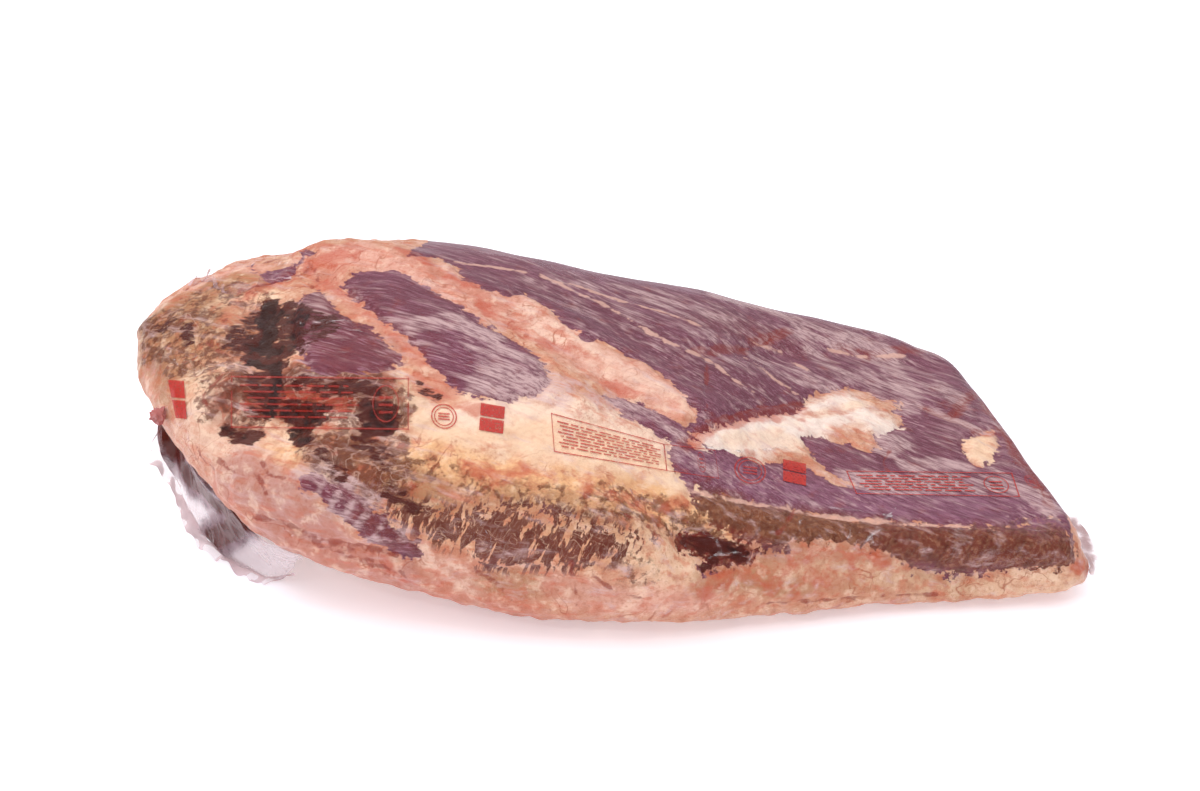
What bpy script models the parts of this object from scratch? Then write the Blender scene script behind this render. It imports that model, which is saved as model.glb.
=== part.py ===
"""A whole beef brisket, shrunk tight in its clear bag and lying on its fat side.

+X runs from the thick end to the thin end, -Y is the long cut side, +Z is up. Sizes are in
millimetres in the tables below and become metres when a piece is placed. The origin is put
at the bottom centre of the whole thing at the end.
"""

from math import cos, exp, pi, sin

import bmesh
import bpy
from mathutils import Vector, noise
from mathutils.bvhtree import BVHTree

MM = 0.001

# The block that the brisket is shaped from, and how many faces it has each way
THICK_END_REACH = 250
THIN_END_REACH = 262
FACES_ALONG = 150
FACES_ACROSS = 76
FACES_UP = 32

# Of the block's fine faces, the share that is kept once its relief is in place
KEPT_SHARE = 0.13

# The outline from above: place along the length, near edge, far edge
OUTLINE = (
    (-252, -72, 150),
    (-232, -92, 154),
    (-210, -116, 154),
    (-185, -134, 150),
    (-150, -140, 144),
    (-110, -137, 138),
    (-50, -143, 134),
    (20, -145, 131),
    (80, -132, 128),
    (150, -117, 125),
    (200, -112, 123),
    (262, -112, 120),
)

# The lean side's height: place along the length, at the near edge, in the middle, at the far edge
LEAN_SIDE = (
    (-252, 88, 120, 136),
    (-205, 97, 128, 147),
    (-150, 99, 129, 137),
    (-100, 100, 126, 124),
    (-50, 99, 118, 110),
    (0, 89, 105, 100),
    (50, 71, 91, 91),
    (100, 56, 71, 75),
    (150, 50, 58, 61),
    (200, 48, 50, 51),
    (262, 47, 45, 45),
)

# The fat side's height above the floor: only the thick end lifts off it
FAT_SIDE = (
    (-252, 50),
    (-225, 36),
    (-190, 21),
    (-150, 6),
    (-110, 0),
    (-70, 0),
    (262, 0),
)

# How square the section is: place along the length, near upper, near lower, far upper, far lower
SQUARENESS = (
    (-252, 2.2, 2.4, 2.2, 2.0),
    (-170, 2.4, 2.8, 3.2, 2.1),
    (-90, 2.6, 3.6, 3.6, 2.3),
    (-20, 3.2, 4.4, 3.6, 2.5),
    (60, 5.0, 5.0, 3.6, 2.8),
    (120, 8.0, 5.0, 4.0, 3.4),
    (215, 8.0, 5.0, 5.0, 4.0),
    (262, 2.4, 2.2, 3.0, 3.0),
)
THIN_END_SLANT = 50
THIN_END_LEAN = 16
THICK_END_SQUARENESS = 2.4
THIN_END_SQUARENESS = 12.0

# Swells and furrows in the meat: rise, reach to each side, and the path that each one follows
RELIEF = (
    # The thick seam of fat that crosses the lean side
    (5.5, 19, ((-149, 69, 124), (-118, 58, 125), (-69, 18, 121), (-16, -5, 109), (46, -54, 87))),
    # The seams between the muscles on either side of it
    (-3.5, 9, ((-151, 35, 124), (-125, -12, 121), (-99, -53, 115), (-77, -80, 107))),
    (-3.0, 10, ((-92, 18, 122), (-45, -8, 117), (10, -52, 100))),
    (-3.0, 9, ((54, 4, 90), (88, 34, 78), (141, 67, 62), (187, 71, 52))),
    # The two muscles themselves
    (3.0, 26, ((-106, 3, 123), (-67, -30, 118), (-20, -63, 106))),
    (2.5, 30, ((-40, 60, 112), (20, 30, 99), (80, 0, 80))),
    # The dark hollow across the thick end, and the dip of ragged fat beside it
    (-6.0, 15, ((-179, 6, 116), (-172, -32, 111), (-165, -62, 103), (-159, -83, 94))),
    (-4.0, 16, ((-181, -80, 89), (-150, -81, 98), (-109, -94, 97))),
    # The fat pad on the lean side of the thin end
    (2.5, 20, ((62, -44, 82), (99, -39, 68), (144, -20, 58))),
    # The fold that runs into the pocket in the near side
    (-7.0, 8, ((20, -124, 79), (32, -133, 70), (49, -138, 56), (59, -137, 50))),
    (-6.0, 10, ((41, -140, 56), (59, -136, 51), (81, -131, 46))),
    # The lump of fat under that fold
    (6.0, 22, ((5, -146, 47), (24, -145, 43), (44, -141, 41))),
    # The line between the cut edge and the fat cap under it
    (-3.0, 7, ((84, -131, 45), (114, -124, 38), (150, -117, 26), (181, -113, 22), (241, -104, 23))),
    (-3.0, 8, ((-98, -131, 46), (-74, -137, 37), (-39, -143, 38), (-5, -146, 40))),
    # The strip of muscle in the near side of the thick end, and the vein below it
    (3.5, 14, ((-143, -113, 79), (-125, -123, 70), (-106, -130, 54), (-89, -134, 42))),
    (-3.0, 8, ((-170, -111, 56), (-148, -122, 55), (-123, -127, 47), (-98, -131, 46))),
    # The corner of the thin end, drawn out to a point by the bag
    (4.5, 10, ((243, -110, 17), (250, -107, 17))),
    # The heavy lip of fat at the very end
    (4.0, 26, ((-242, 14, 92), (-227, 24, 102), (-211, -47, 89))),
)

# Lumps all over: rise, and the width of one lump. The thick end is lumpier than the rest
LUMPS = ((2.2, 62), (1.1, 27))
NOSE_LUMPS = (2.4, 22)
NOSE_STARTS = -165
NOSE_FULL_AT = -205

# The two loose ends of the bag: their thickness with their folds, and their gap to the meat
FILM_FOLDS = 1.6
GAP = 0.7

# The loose end hangs under the thick end, from this angle round the outline to that one.
# An angle of 90 is the near side and 180 the very end
TAIL_FROM = 126
TAIL_TO = 184
TAIL_STEPS = 36
TAIL_ROWS = 7
TAIL_STARTS_AT = -0.5
TAIL_FOLD_RISE = 1.6
TAIL_FOLD_ANGLE = 2.6

# Where the loose end's lower edge lies: angle round the outline, and the place there
TAIL_EDGE = (
    (126, -158, -88, 15),
    (131, -164, -80, 3),
    (138, -174, -80, 2),
    (146, -190, -65, 2),
    (154, -206, -52, 5),
    (164, -221, -29, 16),
    (176, -235, -9, 34),
    (184, -242, 12, 50),
)
TAIL_FLOOR = 1.0

# The flat seam at the thin end: place across the end, width, height at its outer edge
SEAM = (
    (-0.92, 17, 9),
    (-0.8, 14, 14),
    (-0.5, 10, 20),
    (0.0, 11, 20),
    (0.5, 15, 24),
    (0.92, 14, 27),
)
SEAM_STEPS = 36
SEAM_ROWS = 4
SEAM_STARTS_AT = -0.2
SEAM_WAVE_RISE = 1.3
SEAM_WAVES = 17


def along_table(table, place):
    """The values of a table at a place between its rows, on a smooth curve through them."""
    last = len(table) - 1
    i = max(0, min(last - 1, next((n - 1 for n, row in enumerate(table) if row[0] > place), last)))
    before, start, end, after = (table[max(0, min(last, i + k))] for k in (-1, 0, 1, 2))
    span = end[0] - start[0]
    t = max(0.0, min(1.0, (place - start[0]) / span))
    values = []
    for a, b, c, d in zip(before[1:], start[1:], end[1:], after[1:]):
        slope_in = (c - a) / (end[0] - before[0]) * span
        slope_out = (d - b) / (after[0] - start[0]) * span
        curve = ((2 * t - 3) * t * t + 1) * b + ((t - 2) * t + 1) * t * slope_in
        values.append(curve + (3 - 2 * t) * t * t * c + (t - 1) * t * t * slope_out)
    return values


def rounded(u, v, w):
    """A point of the cube from -1 to 1, moved in so that the cube's edges are rounded."""
    near_up, near_low, far_up, far_low = along_table(SQUARENESS, u * THICK_END_REACH)
    share = (v + 1) / 2
    upper = near_up + (far_up - near_up) * share
    lower = near_low + (far_low - near_low) * share
    n = lower + (upper - lower) * (w + 1) / 2
    m = THICK_END_SQUARENESS if u < 0 else THIN_END_SQUARENESS
    section = (abs(v) ** n + abs(w) ** n) ** (1 / n)
    shrink = (abs(u) ** m + section ** m) ** (-1 / m)
    return u * shrink, v * shrink, w * shrink


def placed(u, v, w):
    """The place in the brisket, in millimetres, of a point of the cube."""
    u, v, w = rounded(u, v, w)
    x = u * (THIN_END_REACH if u > 0 else THICK_END_REACH)
    x -= max(0, u) ** 2 * (THIN_END_SLANT * (v + 1) + THIN_END_LEAN * (w + 1)) / 2
    near, far = along_table(OUTLINE, x)
    y = near + (far - near) * (v + 1) / 2
    near_top, middle_top, far_top = along_table(LEAN_SIDE, x)
    crown = middle_top - (near_top + far_top) / 2
    top = near_top + (far_top - near_top) * (v + 1) / 2 + crown * (1 - v * v)
    (bottom,) = along_table(FAT_SIDE, x)
    return Vector((x, y, bottom + (top - bottom) * (w + 1) / 2))


def shaped_block():
    """A cube cut into a grid each way and shaped into the brisket's plain form."""
    bm = bmesh.new()
    bmesh.ops.create_cube(bm, size=2)
    for axis, faces in ((0, FACES_ALONG), (1, FACES_ACROSS), (2, FACES_UP)):
        along = [e for e in bm.edges if abs(e.verts[0].co[axis] - e.verts[1].co[axis]) > 1]
        bmesh.ops.subdivide_edges(bm, edges=along, cuts=faces - 1, use_grid_fill=True)
    for vert in bm.verts:
        vert.co = placed(*vert.co)
    bm.normal_update()
    return bm


def distance_to_path(point, path):
    """How far a point is from a path of straight steps."""
    nearest = 1e9
    for start, end in path:
        step = end - start
        t = max(0.0, min(1.0, (point - start).dot(step) / step.length_squared))
        nearest = min(nearest, (point - start - step * t).length)
    return nearest


def relief_paths():
    """The table of swells and furrows, with each path as pairs of points."""
    rows = []
    for rise, reach, path in RELIEF:
        points = [Vector(point) for point in path]
        rows.append((rise, reach, list(zip(points, points[1:]))))
    return rows


def carve(bm):
    """Move each vertex out or in by the swells, furrows and lumps where it lies."""
    rows = relief_paths()
    moves = []
    for vert in bm.verts:
        rise = sum(size * noise.noise(vert.co / width) for size, width in LUMPS)
        nose_share = (NOSE_STARTS - vert.co.x) / (NOSE_STARTS - NOSE_FULL_AT)
        nose_share = max(0.0, min(1.0, nose_share))
        rise += nose_share * NOSE_LUMPS[0] * noise.noise(vert.co / NOSE_LUMPS[1])
        for height, reach, path in rows:
            rise += height * exp(-((distance_to_path(vert.co, path) / reach) ** 2))
        moves.append(vert.normal * rise)
    for vert, move in zip(bm.verts, moves):
        vert.co += move
        vert.co.z = max(0.0, vert.co.z)


def finished(name, bm, colour, roughness):
    """An object in metres from a mesh in millimetres, with its own material."""
    bmesh.ops.scale(bm, vec=(MM, MM, MM), verts=bm.verts)
    mesh = bpy.data.meshes.new(name)
    bm.to_mesh(mesh)
    bm.free()
    mesh.shade_smooth()
    material = bpy.data.materials.new(name + "_finish")
    material.use_nodes = True
    shader = material.node_tree.nodes["Principled BSDF"]
    shader.inputs["Base Color"].default_value = (*colour, 1)
    shader.inputs["Roughness"].default_value = roughness
    mesh.materials.append(material)
    piece = bpy.data.objects.new(name, mesh)
    bpy.context.collection.objects.link(piece)
    return piece


def brisket():
    """The meat with the bag that clings to it, thinned to a modest number of faces."""
    bm = shaped_block()
    carve(bm)
    piece = finished("brisket", bm, (0.55, 0.25, 0.22), 0.35)
    thinner = piece.modifiers.new("fewer_faces", "DECIMATE")
    thinner.ratio = KEPT_SHARE
    return piece


def outer_surface(piece):
    """The piece's surface, thinned, to measure the gap to its neighbours from."""
    shape = bmesh.new()
    shape.from_mesh(evaluated(piece).data)
    surface = BVHTree.FromBMesh(shape)
    shape.free()
    return surface


def film(name, rows, colour):
    """A thin closed sheet of folded film whose middle follows rows of points."""
    bm = bmesh.new()
    grid = [[bm.verts.new(point) for point in row] for row in rows]
    for near_row, far_row in zip(grid, grid[1:]):
        for a, b, c, d in zip(near_row, near_row[1:], far_row[1:], far_row):
            bm.faces.new((a, b, c, d))
    bmesh.ops.triangulate(bm, faces=bm.faces[:])
    piece = finished(name, bm, colour, 0.2)
    thickness = piece.modifiers.new("thickness", "SOLIDIFY")
    thickness.thickness = FILM_FOLDS * MM
    thickness.offset = 0
    return piece


def clear_of(surface, point):
    """The point itself, or if it is too near the meat, the nearest place that is clear of it."""
    spot, normal, face, distance = surface.find_nearest(point * MM)
    clearance = GAP + FILM_FOLDS / 2
    if (point * MM - spot).dot(normal) > clearance * MM:
        return point
    return spot / MM + normal * clearance


def round_the_outline(angle, height):
    """A place on the brisket's side: 90 degrees is its near side and 180 its thick end."""
    turn = angle * pi / 180
    u = cos(turn)
    v = -sin(turn)
    size = max(abs(u), abs(v))
    return placed(u / size, v / size, height)


def bag_tail(surface):
    """The loose end of the bag, which hangs from the thick end and is tucked in under it."""
    rows = []
    for step in range(TAIL_STEPS + 1):
        angle = TAIL_FROM + (TAIL_TO - TAIL_FROM) * step / TAIL_STEPS
        start = round_the_outline(angle, TAIL_STARTS_AT)
        edge = Vector(along_table(TAIL_EDGE, angle))
        out = Vector((start.x, start.y, 0)).normalized()
        row = []
        for part in range(TAIL_ROWS + 1):
            share = part / TAIL_ROWS
            fold = TAIL_FOLD_RISE * share * sin(angle / TAIL_FOLD_ANGLE + 2 * share)
            place = start.lerp(edge, share) + out * fold
            place.z = max(TAIL_FLOOR + FILM_FOLDS / 2, place.z)
            row.append(clear_of(surface, place))
        rows.append(row)
    return film("bag_tail", rows, (0.62, 0.55, 0.54))


def bag_seam(surface):
    """The flat seam of the bag, which stands out from the thin end."""
    rows = []
    for step in range(SEAM_STEPS + 1):
        v = SEAM[0][0] + (SEAM[-1][0] - SEAM[0][0]) * step / SEAM_STEPS
        start = placed(1, v, SEAM_STARTS_AT)
        width, height = along_table(SEAM, v)
        row = []
        for part in range(SEAM_ROWS + 1):
            share = part / SEAM_ROWS
            wave = SEAM_WAVE_RISE * share * sin(v * SEAM_WAVES + 2 * share)
            place = start + Vector((width * share, 0, (height - start.z) * share + wave))
            row.append(clear_of(surface, place))
        rows.append(row)
    return film("bag_seam", rows, (0.75, 0.62, 0.6))


def evaluated(piece):
    """The piece as it is with its modifiers."""
    bpy.context.view_layer.update()
    return piece.evaluated_get(bpy.context.evaluated_depsgraph_get())


def stand_on_origin(pieces):
    """Move every piece so that the whole thing's bottom centre is the origin."""
    corners = []
    for piece in pieces:
        corners += [vert.co.copy() for vert in evaluated(piece).data.vertices]
    low = Vector(min(corner[i] for corner in corners) for i in range(3))
    high = Vector(max(corner[i] for corner in corners) for i in range(3))
    for piece in pieces:
        piece.location = (-(low.x + high.x) / 2, -(low.y + high.y) / 2, -low.z)


def main():
    for old in list(bpy.data.objects):
        bpy.data.objects.remove(old)
    meat = brisket()
    surface = outer_surface(meat)
    stand_on_origin([meat, bag_tail(surface), bag_seam(surface)])


main()
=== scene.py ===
# %% [markdown]
# # A whole beef brisket, shrunk tight in its clear bag
#
# The imported model holds three plain solids: the brisket, the loose end of the bag that hangs
# under its thick end, and the flat seam at its thin end. This lesson gives them their looks:
# muscles, fat, dark patches and a cut edge on the meat, and round it the clear film with its
# folds and its red print. First the imported model is loaded.

from functools import partial
from math import radians

import bmesh
import bpy
import numpy as np
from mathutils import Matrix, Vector, noise
from mathutils.bvhtree import BVHTree


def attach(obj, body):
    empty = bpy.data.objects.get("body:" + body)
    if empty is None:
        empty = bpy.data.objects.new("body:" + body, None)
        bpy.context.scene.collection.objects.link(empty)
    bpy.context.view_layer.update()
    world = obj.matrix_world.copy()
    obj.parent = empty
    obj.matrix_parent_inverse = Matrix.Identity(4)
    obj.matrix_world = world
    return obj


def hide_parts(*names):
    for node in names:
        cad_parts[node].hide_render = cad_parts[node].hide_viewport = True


MM = 0.001
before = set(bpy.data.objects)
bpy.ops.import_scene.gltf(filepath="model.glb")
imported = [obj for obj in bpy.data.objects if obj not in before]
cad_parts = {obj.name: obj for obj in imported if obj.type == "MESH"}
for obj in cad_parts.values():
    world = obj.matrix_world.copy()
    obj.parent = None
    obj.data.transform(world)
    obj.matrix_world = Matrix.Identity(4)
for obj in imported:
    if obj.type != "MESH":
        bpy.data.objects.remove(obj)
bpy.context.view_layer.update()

# %% [markdown]
# ## The camera
#
# The photograph was taken from well above the near side, about 1.3 metres away. A long lens at
# that distance keeps the two ends nearly the same size, and the small shift moves the picture to
# where the photograph has it. The camera comes first, because the marks on the meat are placed by
# the pixel at which the photograph shows them.

# %% Camera
PHOTO_WIDE = 1200
CENTRE_ROW = 407
FRAME_MIDDLE_ROW = 395.5
LENS = 70
SENSOR = 36
CAMERA_PLACE = Vector((-0.0058, -1.1117, 0.6325))
CAMERA_TILT = 63
TO_MEAT = 1.27

lens = bpy.data.cameras.new("camera")
lens.lens = LENS
lens.sensor_width = SENSOR
lens.shift_y = (CENTRE_ROW - FRAME_MIDDLE_ROW) / PHOTO_WIDE
camera = bpy.data.objects.new("camera", lens)
camera.location = CAMERA_PLACE
camera.rotation_euler = (radians(CAMERA_TILT), 0, 0)
bpy.context.scene.collection.objects.link(camera)
bpy.context.scene.camera = camera
bpy.context.view_layer.update()


def ray_through(column, row):
    """The direction from the camera through a pixel of the photograph."""
    focal = LENS / SENSOR * PHOTO_WIDE
    toward = Vector(((column - PHOTO_WIDE / 2) / focal, (CENTRE_ROW - row) / focal, -1))
    return (camera.matrix_world.to_3x3() @ toward).normalized()


# %% [markdown]
# ## A fine skin for the meat
#
# The solid has large faces, too coarse for seams between muscles and lumps of fat. A copy of its
# mesh is merged, remeshed into even small squares and smoothed, so that every part of it can be
# moved and coloured on its own. Subdividing the solid's own triangles would also work, but it
# leaves long thin faces where they were thinned.

# %% Fine copy of the brisket
SAME_PLACE = 0.01 * MM
SQUARE = 2.1 * MM
SMOOTHINGS = 7


def shown_mesh(piece):
    """A copy of the piece's mesh with its modifiers applied."""
    bpy.context.view_layer.update()
    graph = bpy.context.evaluated_depsgraph_get()
    return bpy.data.meshes.new_from_object(piece.evaluated_get(graph))


def new_piece(name, bm):
    """An object at the origin with the bmesh's mesh, shaded smooth. The bmesh is freed."""
    mesh = bpy.data.meshes.new(name)
    bm.to_mesh(mesh)
    bm.free()
    mesh.shade_smooth()
    piece = bpy.data.objects.new(name, mesh)
    bpy.context.scene.collection.objects.link(piece)
    return piece


def merged_copy(node):
    """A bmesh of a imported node's mesh with its loose triangles joined."""
    bm = bmesh.new()
    bm.from_mesh(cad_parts[node].data)
    bmesh.ops.remove_doubles(bm, verts=bm.verts, dist=SAME_PLACE)
    return bm


def remeshed(piece, square):
    """The piece with its mesh rebuilt in even squares."""
    even = piece.modifiers.new("even_squares", "REMESH")
    even.mode = "VOXEL"
    even.voxel_size = square
    mesh = shown_mesh(piece)
    piece.modifiers.clear()
    piece.data = mesh
    mesh.shade_smooth()
    return piece


def smoothed(piece, times):
    """The piece with each vertex moved towards the middle of its neighbours."""
    bm = bmesh.new()
    bm.from_mesh(piece.data)
    for _ in range(times):
        bmesh.ops.smooth_vert(
            bm, verts=bm.verts, factor=0.5, use_axis_x=True, use_axis_y=True, use_axis_z=True
        )
    bm.to_mesh(piece.data)
    bm.free()
    return piece


meat = smoothed(remeshed(new_piece("meat", merged_copy("brisket")), SQUARE), SMOOTHINGS)
print("the meat has", len(meat.data.vertices), "vertices")

# %% [markdown]
# ## Finding places on the meat
#
# A mark is given by pixels of the photograph, and a ray from the camera finds its place on the
# meat. Marks that the camera can't see are given in millimetres. To tell what lies inside a
# closed outline, the skin is unrolled: each vertex gets its place along the length and its angle
# round the girth, as on the label of a bottle.

# %% Places of vertices
def vertex_array(mesh):
    """The places of a mesh's vertices, in millimetres."""
    places = np.zeros(len(mesh.vertices) * 3, np.float32)
    mesh.vertices.foreach_get("co", places)
    return places.reshape(-1, 3).astype(float) / MM


def surface_of(piece):
    """What finds the nearest place on a piece, and what a ray hits."""
    bm = bmesh.new()
    bm.from_mesh(piece.data)
    found = BVHTree.FromBMesh(bm)
    bm.free()
    return found


skin = vertex_array(meat.data)
skin_surface = surface_of(meat)
print("the skin's places run from", skin.min(0).round(), "to", skin.max(0).round())

# %% The skin unrolled
ALONG_STEPS = 90
END_GAP = 2
SLAB = 4
GIRTH_SCALE = 80


def middles(points):
    """The middle of the meat's section at steps along its length: x, y and z."""
    steps = np.linspace(points[:, 0].min() + END_GAP, points[:, 0].max() - END_GAP, ALONG_STEPS)
    rows = []
    for step in steps:
        slab = points[np.abs(points[:, 0] - step) < SLAB]
        rows.append((step, *(slab.min(0)[1:] + slab.max(0)[1:]) / 2))
    return np.array(rows).T


middle_x, middle_y, middle_z = middles(skin)


def unrolled(points):
    """Place along the length and round the girth of each point, as on a flat label."""
    across = points[:, 1] - np.interp(points[:, 0], middle_x, middle_y)
    up = points[:, 2] - np.interp(points[:, 0], middle_x, middle_z)
    return np.stack([points[:, 0], np.arctan2(across, up) * GIRTH_SCALE], 1)


print("the unrolled skin is", np.ptp(unrolled(skin), axis=0).round(), "millimetres wide")


# %% Marks on the meat
def on_meat(spots, surface=None):
    """Places on the meat, or another surface, in millimetres, from pixels or places near it."""
    surface = surface or skin_surface
    found = []
    for spot in spots:
        if len(spot) == 2:
            toward = ray_through(*spot)
            place = surface.ray_cast(CAMERA_PLACE, toward)[0]
            if place is None:
                place = surface.find_nearest(CAMERA_PLACE + toward * TO_MEAT)[0]
        else:
            place = surface.find_nearest(Vector(spot) * MM)[0]
        found.append(place / MM)
    return np.array(found)


def distance_along(points, path):
    """How far each point is from a path of straight steps."""
    nearest = np.full(len(points), 1e9)
    for start, end in zip(path, path[1:]):
        step = end - start
        share = np.clip((points - start) @ step / (step @ step + 1e-9), 0, 1)
        gap = np.linalg.norm(points - start - share[:, None] * step, axis=1)
        nearest = np.minimum(nearest, gap)
    return nearest


def inside(points, outline):
    """Which of the points lie inside a closed outline on the unrolled skin."""
    place_x, place_s = unrolled(points).T
    flat = unrolled(outline)
    within = np.zeros(len(points), bool)
    for (x0, s0), (x1, s1) in zip(flat, np.roll(flat, -1, axis=0)):
        straddles = (s0 > place_s) != (s1 > place_s)
        crossing = x0 + (place_s - s0) * (x1 - x0) / (s1 - s0 + 1e-12)
        within ^= straddles & (place_x < crossing)
    return within


def depth_inside(points, spots):
    """Millimetres from the edge of a closed outline: above nought inside it, below outside."""
    outline = on_meat(spots)
    gap = distance_along(points, np.vstack([outline, outline[:1]]))
    return np.where(inside(points, outline), gap, -gap)


print("the pixel in the middle of the meat is at", on_meat(((600, 407),))[0].round(), "millimetres")

# %% [markdown]
# ## Where the muscles lie
#
# A brisket is two muscles with fat between and over them. On the lean side the long flat muscle
# shows as one broad purple field, and the thick end's muscle as a lens and smaller fields beside
# it. Each is an outline of pixels where the photograph shows it, and of places in millimetres on
# the far side. The fat pads that lie on the flat muscle are taken out of it again.

# %% Muscles of the lean side
LENS_MUSCLE = (
    (341, 285), (351, 273), (369, 268), (394, 270), (420, 282), (447, 297), (472, 315),
    (484, 323), (505, 333), (525, 345), (545, 362), (552, 378), (540, 392), (524, 398),
    (499, 400), (482, 398), (462, 392), (447, 382), (436, 370), (422, 355), (411, 341),
    (397, 330), (378, 318), (362, 303), (350, 295),
)
FLAT_MUSCLE = (
    (407, 240), (439, 257), (455, 265), (464, 278), (482, 286), (505, 295), (524, 293),
    (545, 303), (566, 322), (585, 339), (608, 343), (623, 352), (648, 362), (665, 375),
    (680, 389), (692, 404), (699, 414), (688, 428), (674, 438), (668, 452), (678, 472),
    (690, 487), (712, 491), (750, 500), (787, 506), (809, 511), (841, 516), (889, 520),
    (948, 523), (1001, 527), (1040, 522), (1058, 516), (244, -104, 34), (232, -40, 30),
    (212, 50, 30), (196, 112, 30), (150, 134, 30), (100, 140, 34), (40, 143, 40),
    (0, 143, 44), (-50, 144, 52), (-90, 143, 70), (-100, 140, 100),
)
LEFT_MUSCLE = (
    (300, 296), (319, 288), (329, 298), (340, 311), (356, 319), (371, 326), (384, 340),
    (398, 353), (404, 363), (394, 367), (379, 370), (356, 372), (321, 372), (308, 368),
    (300, 350), (290, 334), (292, 315),
)
STRIP_MUSCLE = (
    (296, 476), (314, 470), (333, 481), (356, 491), (379, 510), (402, 529), (417, 545),
    (423, 558), (413, 562), (379, 548), (350, 525), (329, 510), (316, 495), (298, 487),
)
SLIVER_MUSCLE = (
    (604, 394), (620, 396), (645, 404), (668, 416), (690, 430), (700, 438), (684, 444),
    (664, 438), (645, 426), (622, 412),
)
TOP_MUSCLE = (
    (248, 264), (262, 256), (285, 253), (304, 249), (312, 252), (296, 262), (276, 268), (256, 271),
)
SMALL_MUSCLES = (LENS_MUSCLE, LEFT_MUSCLE, SLIVER_MUSCLE, TOP_MUSCLE)
print("the outline of the flat muscle has", len(FLAT_MUSCLE), "points")

# %% Fat pads on the flat muscle
LONG_FAT_PAD = (
    (686, 440), (710, 429), (742, 419), (774, 414), (799, 410), (809, 397), (829, 389),
    (854, 387), (869, 391), (884, 398), (906, 404), (894, 412), (906, 422), (894, 430),
    (876, 435), (884, 449), (869, 450), (849, 443), (834, 440), (819, 435), (804, 438),
    (812, 452), (829, 469), (848, 480), (862, 486), (839, 484), (819, 473), (800, 464),
    (784, 460), (762, 462), (740, 454), (717, 450), (695, 448),
)
END_FAT_PAD = (
    (964, 439), (978, 434), (994, 429), (1001, 444), (994, 461), (981, 466), (968, 457),
    (964, 447),
)

flat_muscle = depth_inside(skin, FLAT_MUSCLE)
for fat_pad in (LONG_FAT_PAD, END_FAT_PAD):
    flat_muscle = np.minimum(flat_muscle, -depth_inside(skin, fat_pad))
small_muscles = [depth_inside(skin, spots) for spots in SMALL_MUSCLES]
top_muscles = np.max([*small_muscles, flat_muscle], axis=0)
strip_muscle = depth_inside(skin, STRIP_MUSCLE)
print("the deepest place in the flat muscle is", flat_muscle.max().round(), "millimetres in")

# %% [markdown]
# ## What the knife bared
#
# Along the near side the butcher's cuts went through the muscle. The thick end's part is marbled,
# with fingers of fat reaching into it, and the thin end's part is a clean brown band. A pocket of
# blood lies between them, and a clot fills the hollow of the thick end. All four are outlines.

# %% Cuts, pocket and clot
MARBLED_MUSCLE = (
    (372, 486), (390, 488), (417, 500), (452, 510), (479, 507), (507, 503), (544, 505),
    (567, 512), (590, 522), (613, 528), (640, 534), (654, 539), (635, 550), (613, 560),
    (578, 567), (553, 571), (530, 567), (502, 570), (479, 567), (463, 552), (436, 541),
    (405, 530), (385, 510),
)
CUT_EDGE = (
    (690, 490), (712, 495), (750, 503), (787, 508), (809, 513), (841, 518), (889, 522),
    (948, 524), (1001, 527), (1036, 520), (1058, 514), (1074, 548), (1082, 564), (1055, 569),
    (1028, 571), (1001, 572), (975, 576), (948, 575), (916, 572), (902, 564), (889, 553),
    (873, 548), (851, 542), (819, 540), (795, 542), (787, 550), (768, 548), (734, 537),
    (712, 521), (697, 507),
)
BLOOD_POCKET = (
    (678, 536), (691, 529), (715, 537), (747, 545), (758, 556), (747, 564), (720, 564),
    (704, 577), (697, 567), (707, 559), (696, 553), (680, 548),
)
CLOT = (
    (250, 318), (268, 305), (283, 302), (302, 306), (313, 318), (311, 336), (303, 347),
    (290, 351), (286, 362), (282, 376), (281, 392), (278, 410), (268, 417), (266, 400),
    (270, 384), (264, 371), (246, 363), (240, 350), (247, 342), (255, 336), (257, 326),
)

marbled_muscle = depth_inside(skin, MARBLED_MUSCLE)
cut_edge = depth_inside(skin, CUT_EDGE)
blood_pocket = depth_inside(skin, BLOOD_POCKET)
clot = depth_inside(skin, CLOT)
lean = np.max([top_muscles, strip_muscle, marbled_muscle, cut_edge, blood_pocket], axis=0)
print("muscle shows on", round(float((lean > 0).mean()) * 100), "per cent of the skin")

# %% [markdown]
# ## Soft marks
#
# Stains, silver skin, dark patches and brown crusts have no sharp outline. Each is a stroke: a
# path with a strength and a reach, whose edge is frayed by noise. The strongest stroke counts at
# each vertex, so strokes of a kind make one field, and the material cuts it with finer noise.

# %% Strokes
HALF = 0.5
FRAY = 0.6
STROKE_TOP, STROKE_FALL = 1.5, 1.2


def noise_at(points, width):
    """Smooth noise from -1 to 1 at each point, with lumps of about that width in millimetres."""
    return np.array([noise.noise(Vector(point)) for point in points / width])


MEAT_FRAY = 0.5 * noise_at(skin, 13) + 0.35 * noise_at(skin + 40, 5)


def stroke_shares(reach, spots, points=skin, fray=MEAT_FRAY):
    """How much a stroke covers each point: 1 on its path, 0 beyond its reach and its fray."""
    gap = distance_along(points, on_meat(spots)) / reach + FRAY * fray
    share = np.clip(STROKE_TOP - STROKE_FALL * gap, 0, 1)
    return share * share * (3 - 2 * share)


def field(strokes, points=skin, fray=MEAT_FRAY):
    """One field from strokes of strength, reach and path."""
    total = np.zeros(len(points))
    for strength, reach, spots in strokes:
        total = np.maximum(total, strength * stroke_shares(reach, spots, points, fray))
    return total


print("noise frays a stroke's edge by up to", np.abs(MEAT_FRAY).max().round(2), "of its reach")

# %% [markdown]
# ## Silver skin
#
# Thin sheets of silvery sinew cover parts of the lean. They are torn and run with the fibres, so
# their strokes run that way too. The short, thin ones are the ribs on the small strip of muscle
# at the near side.

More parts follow.
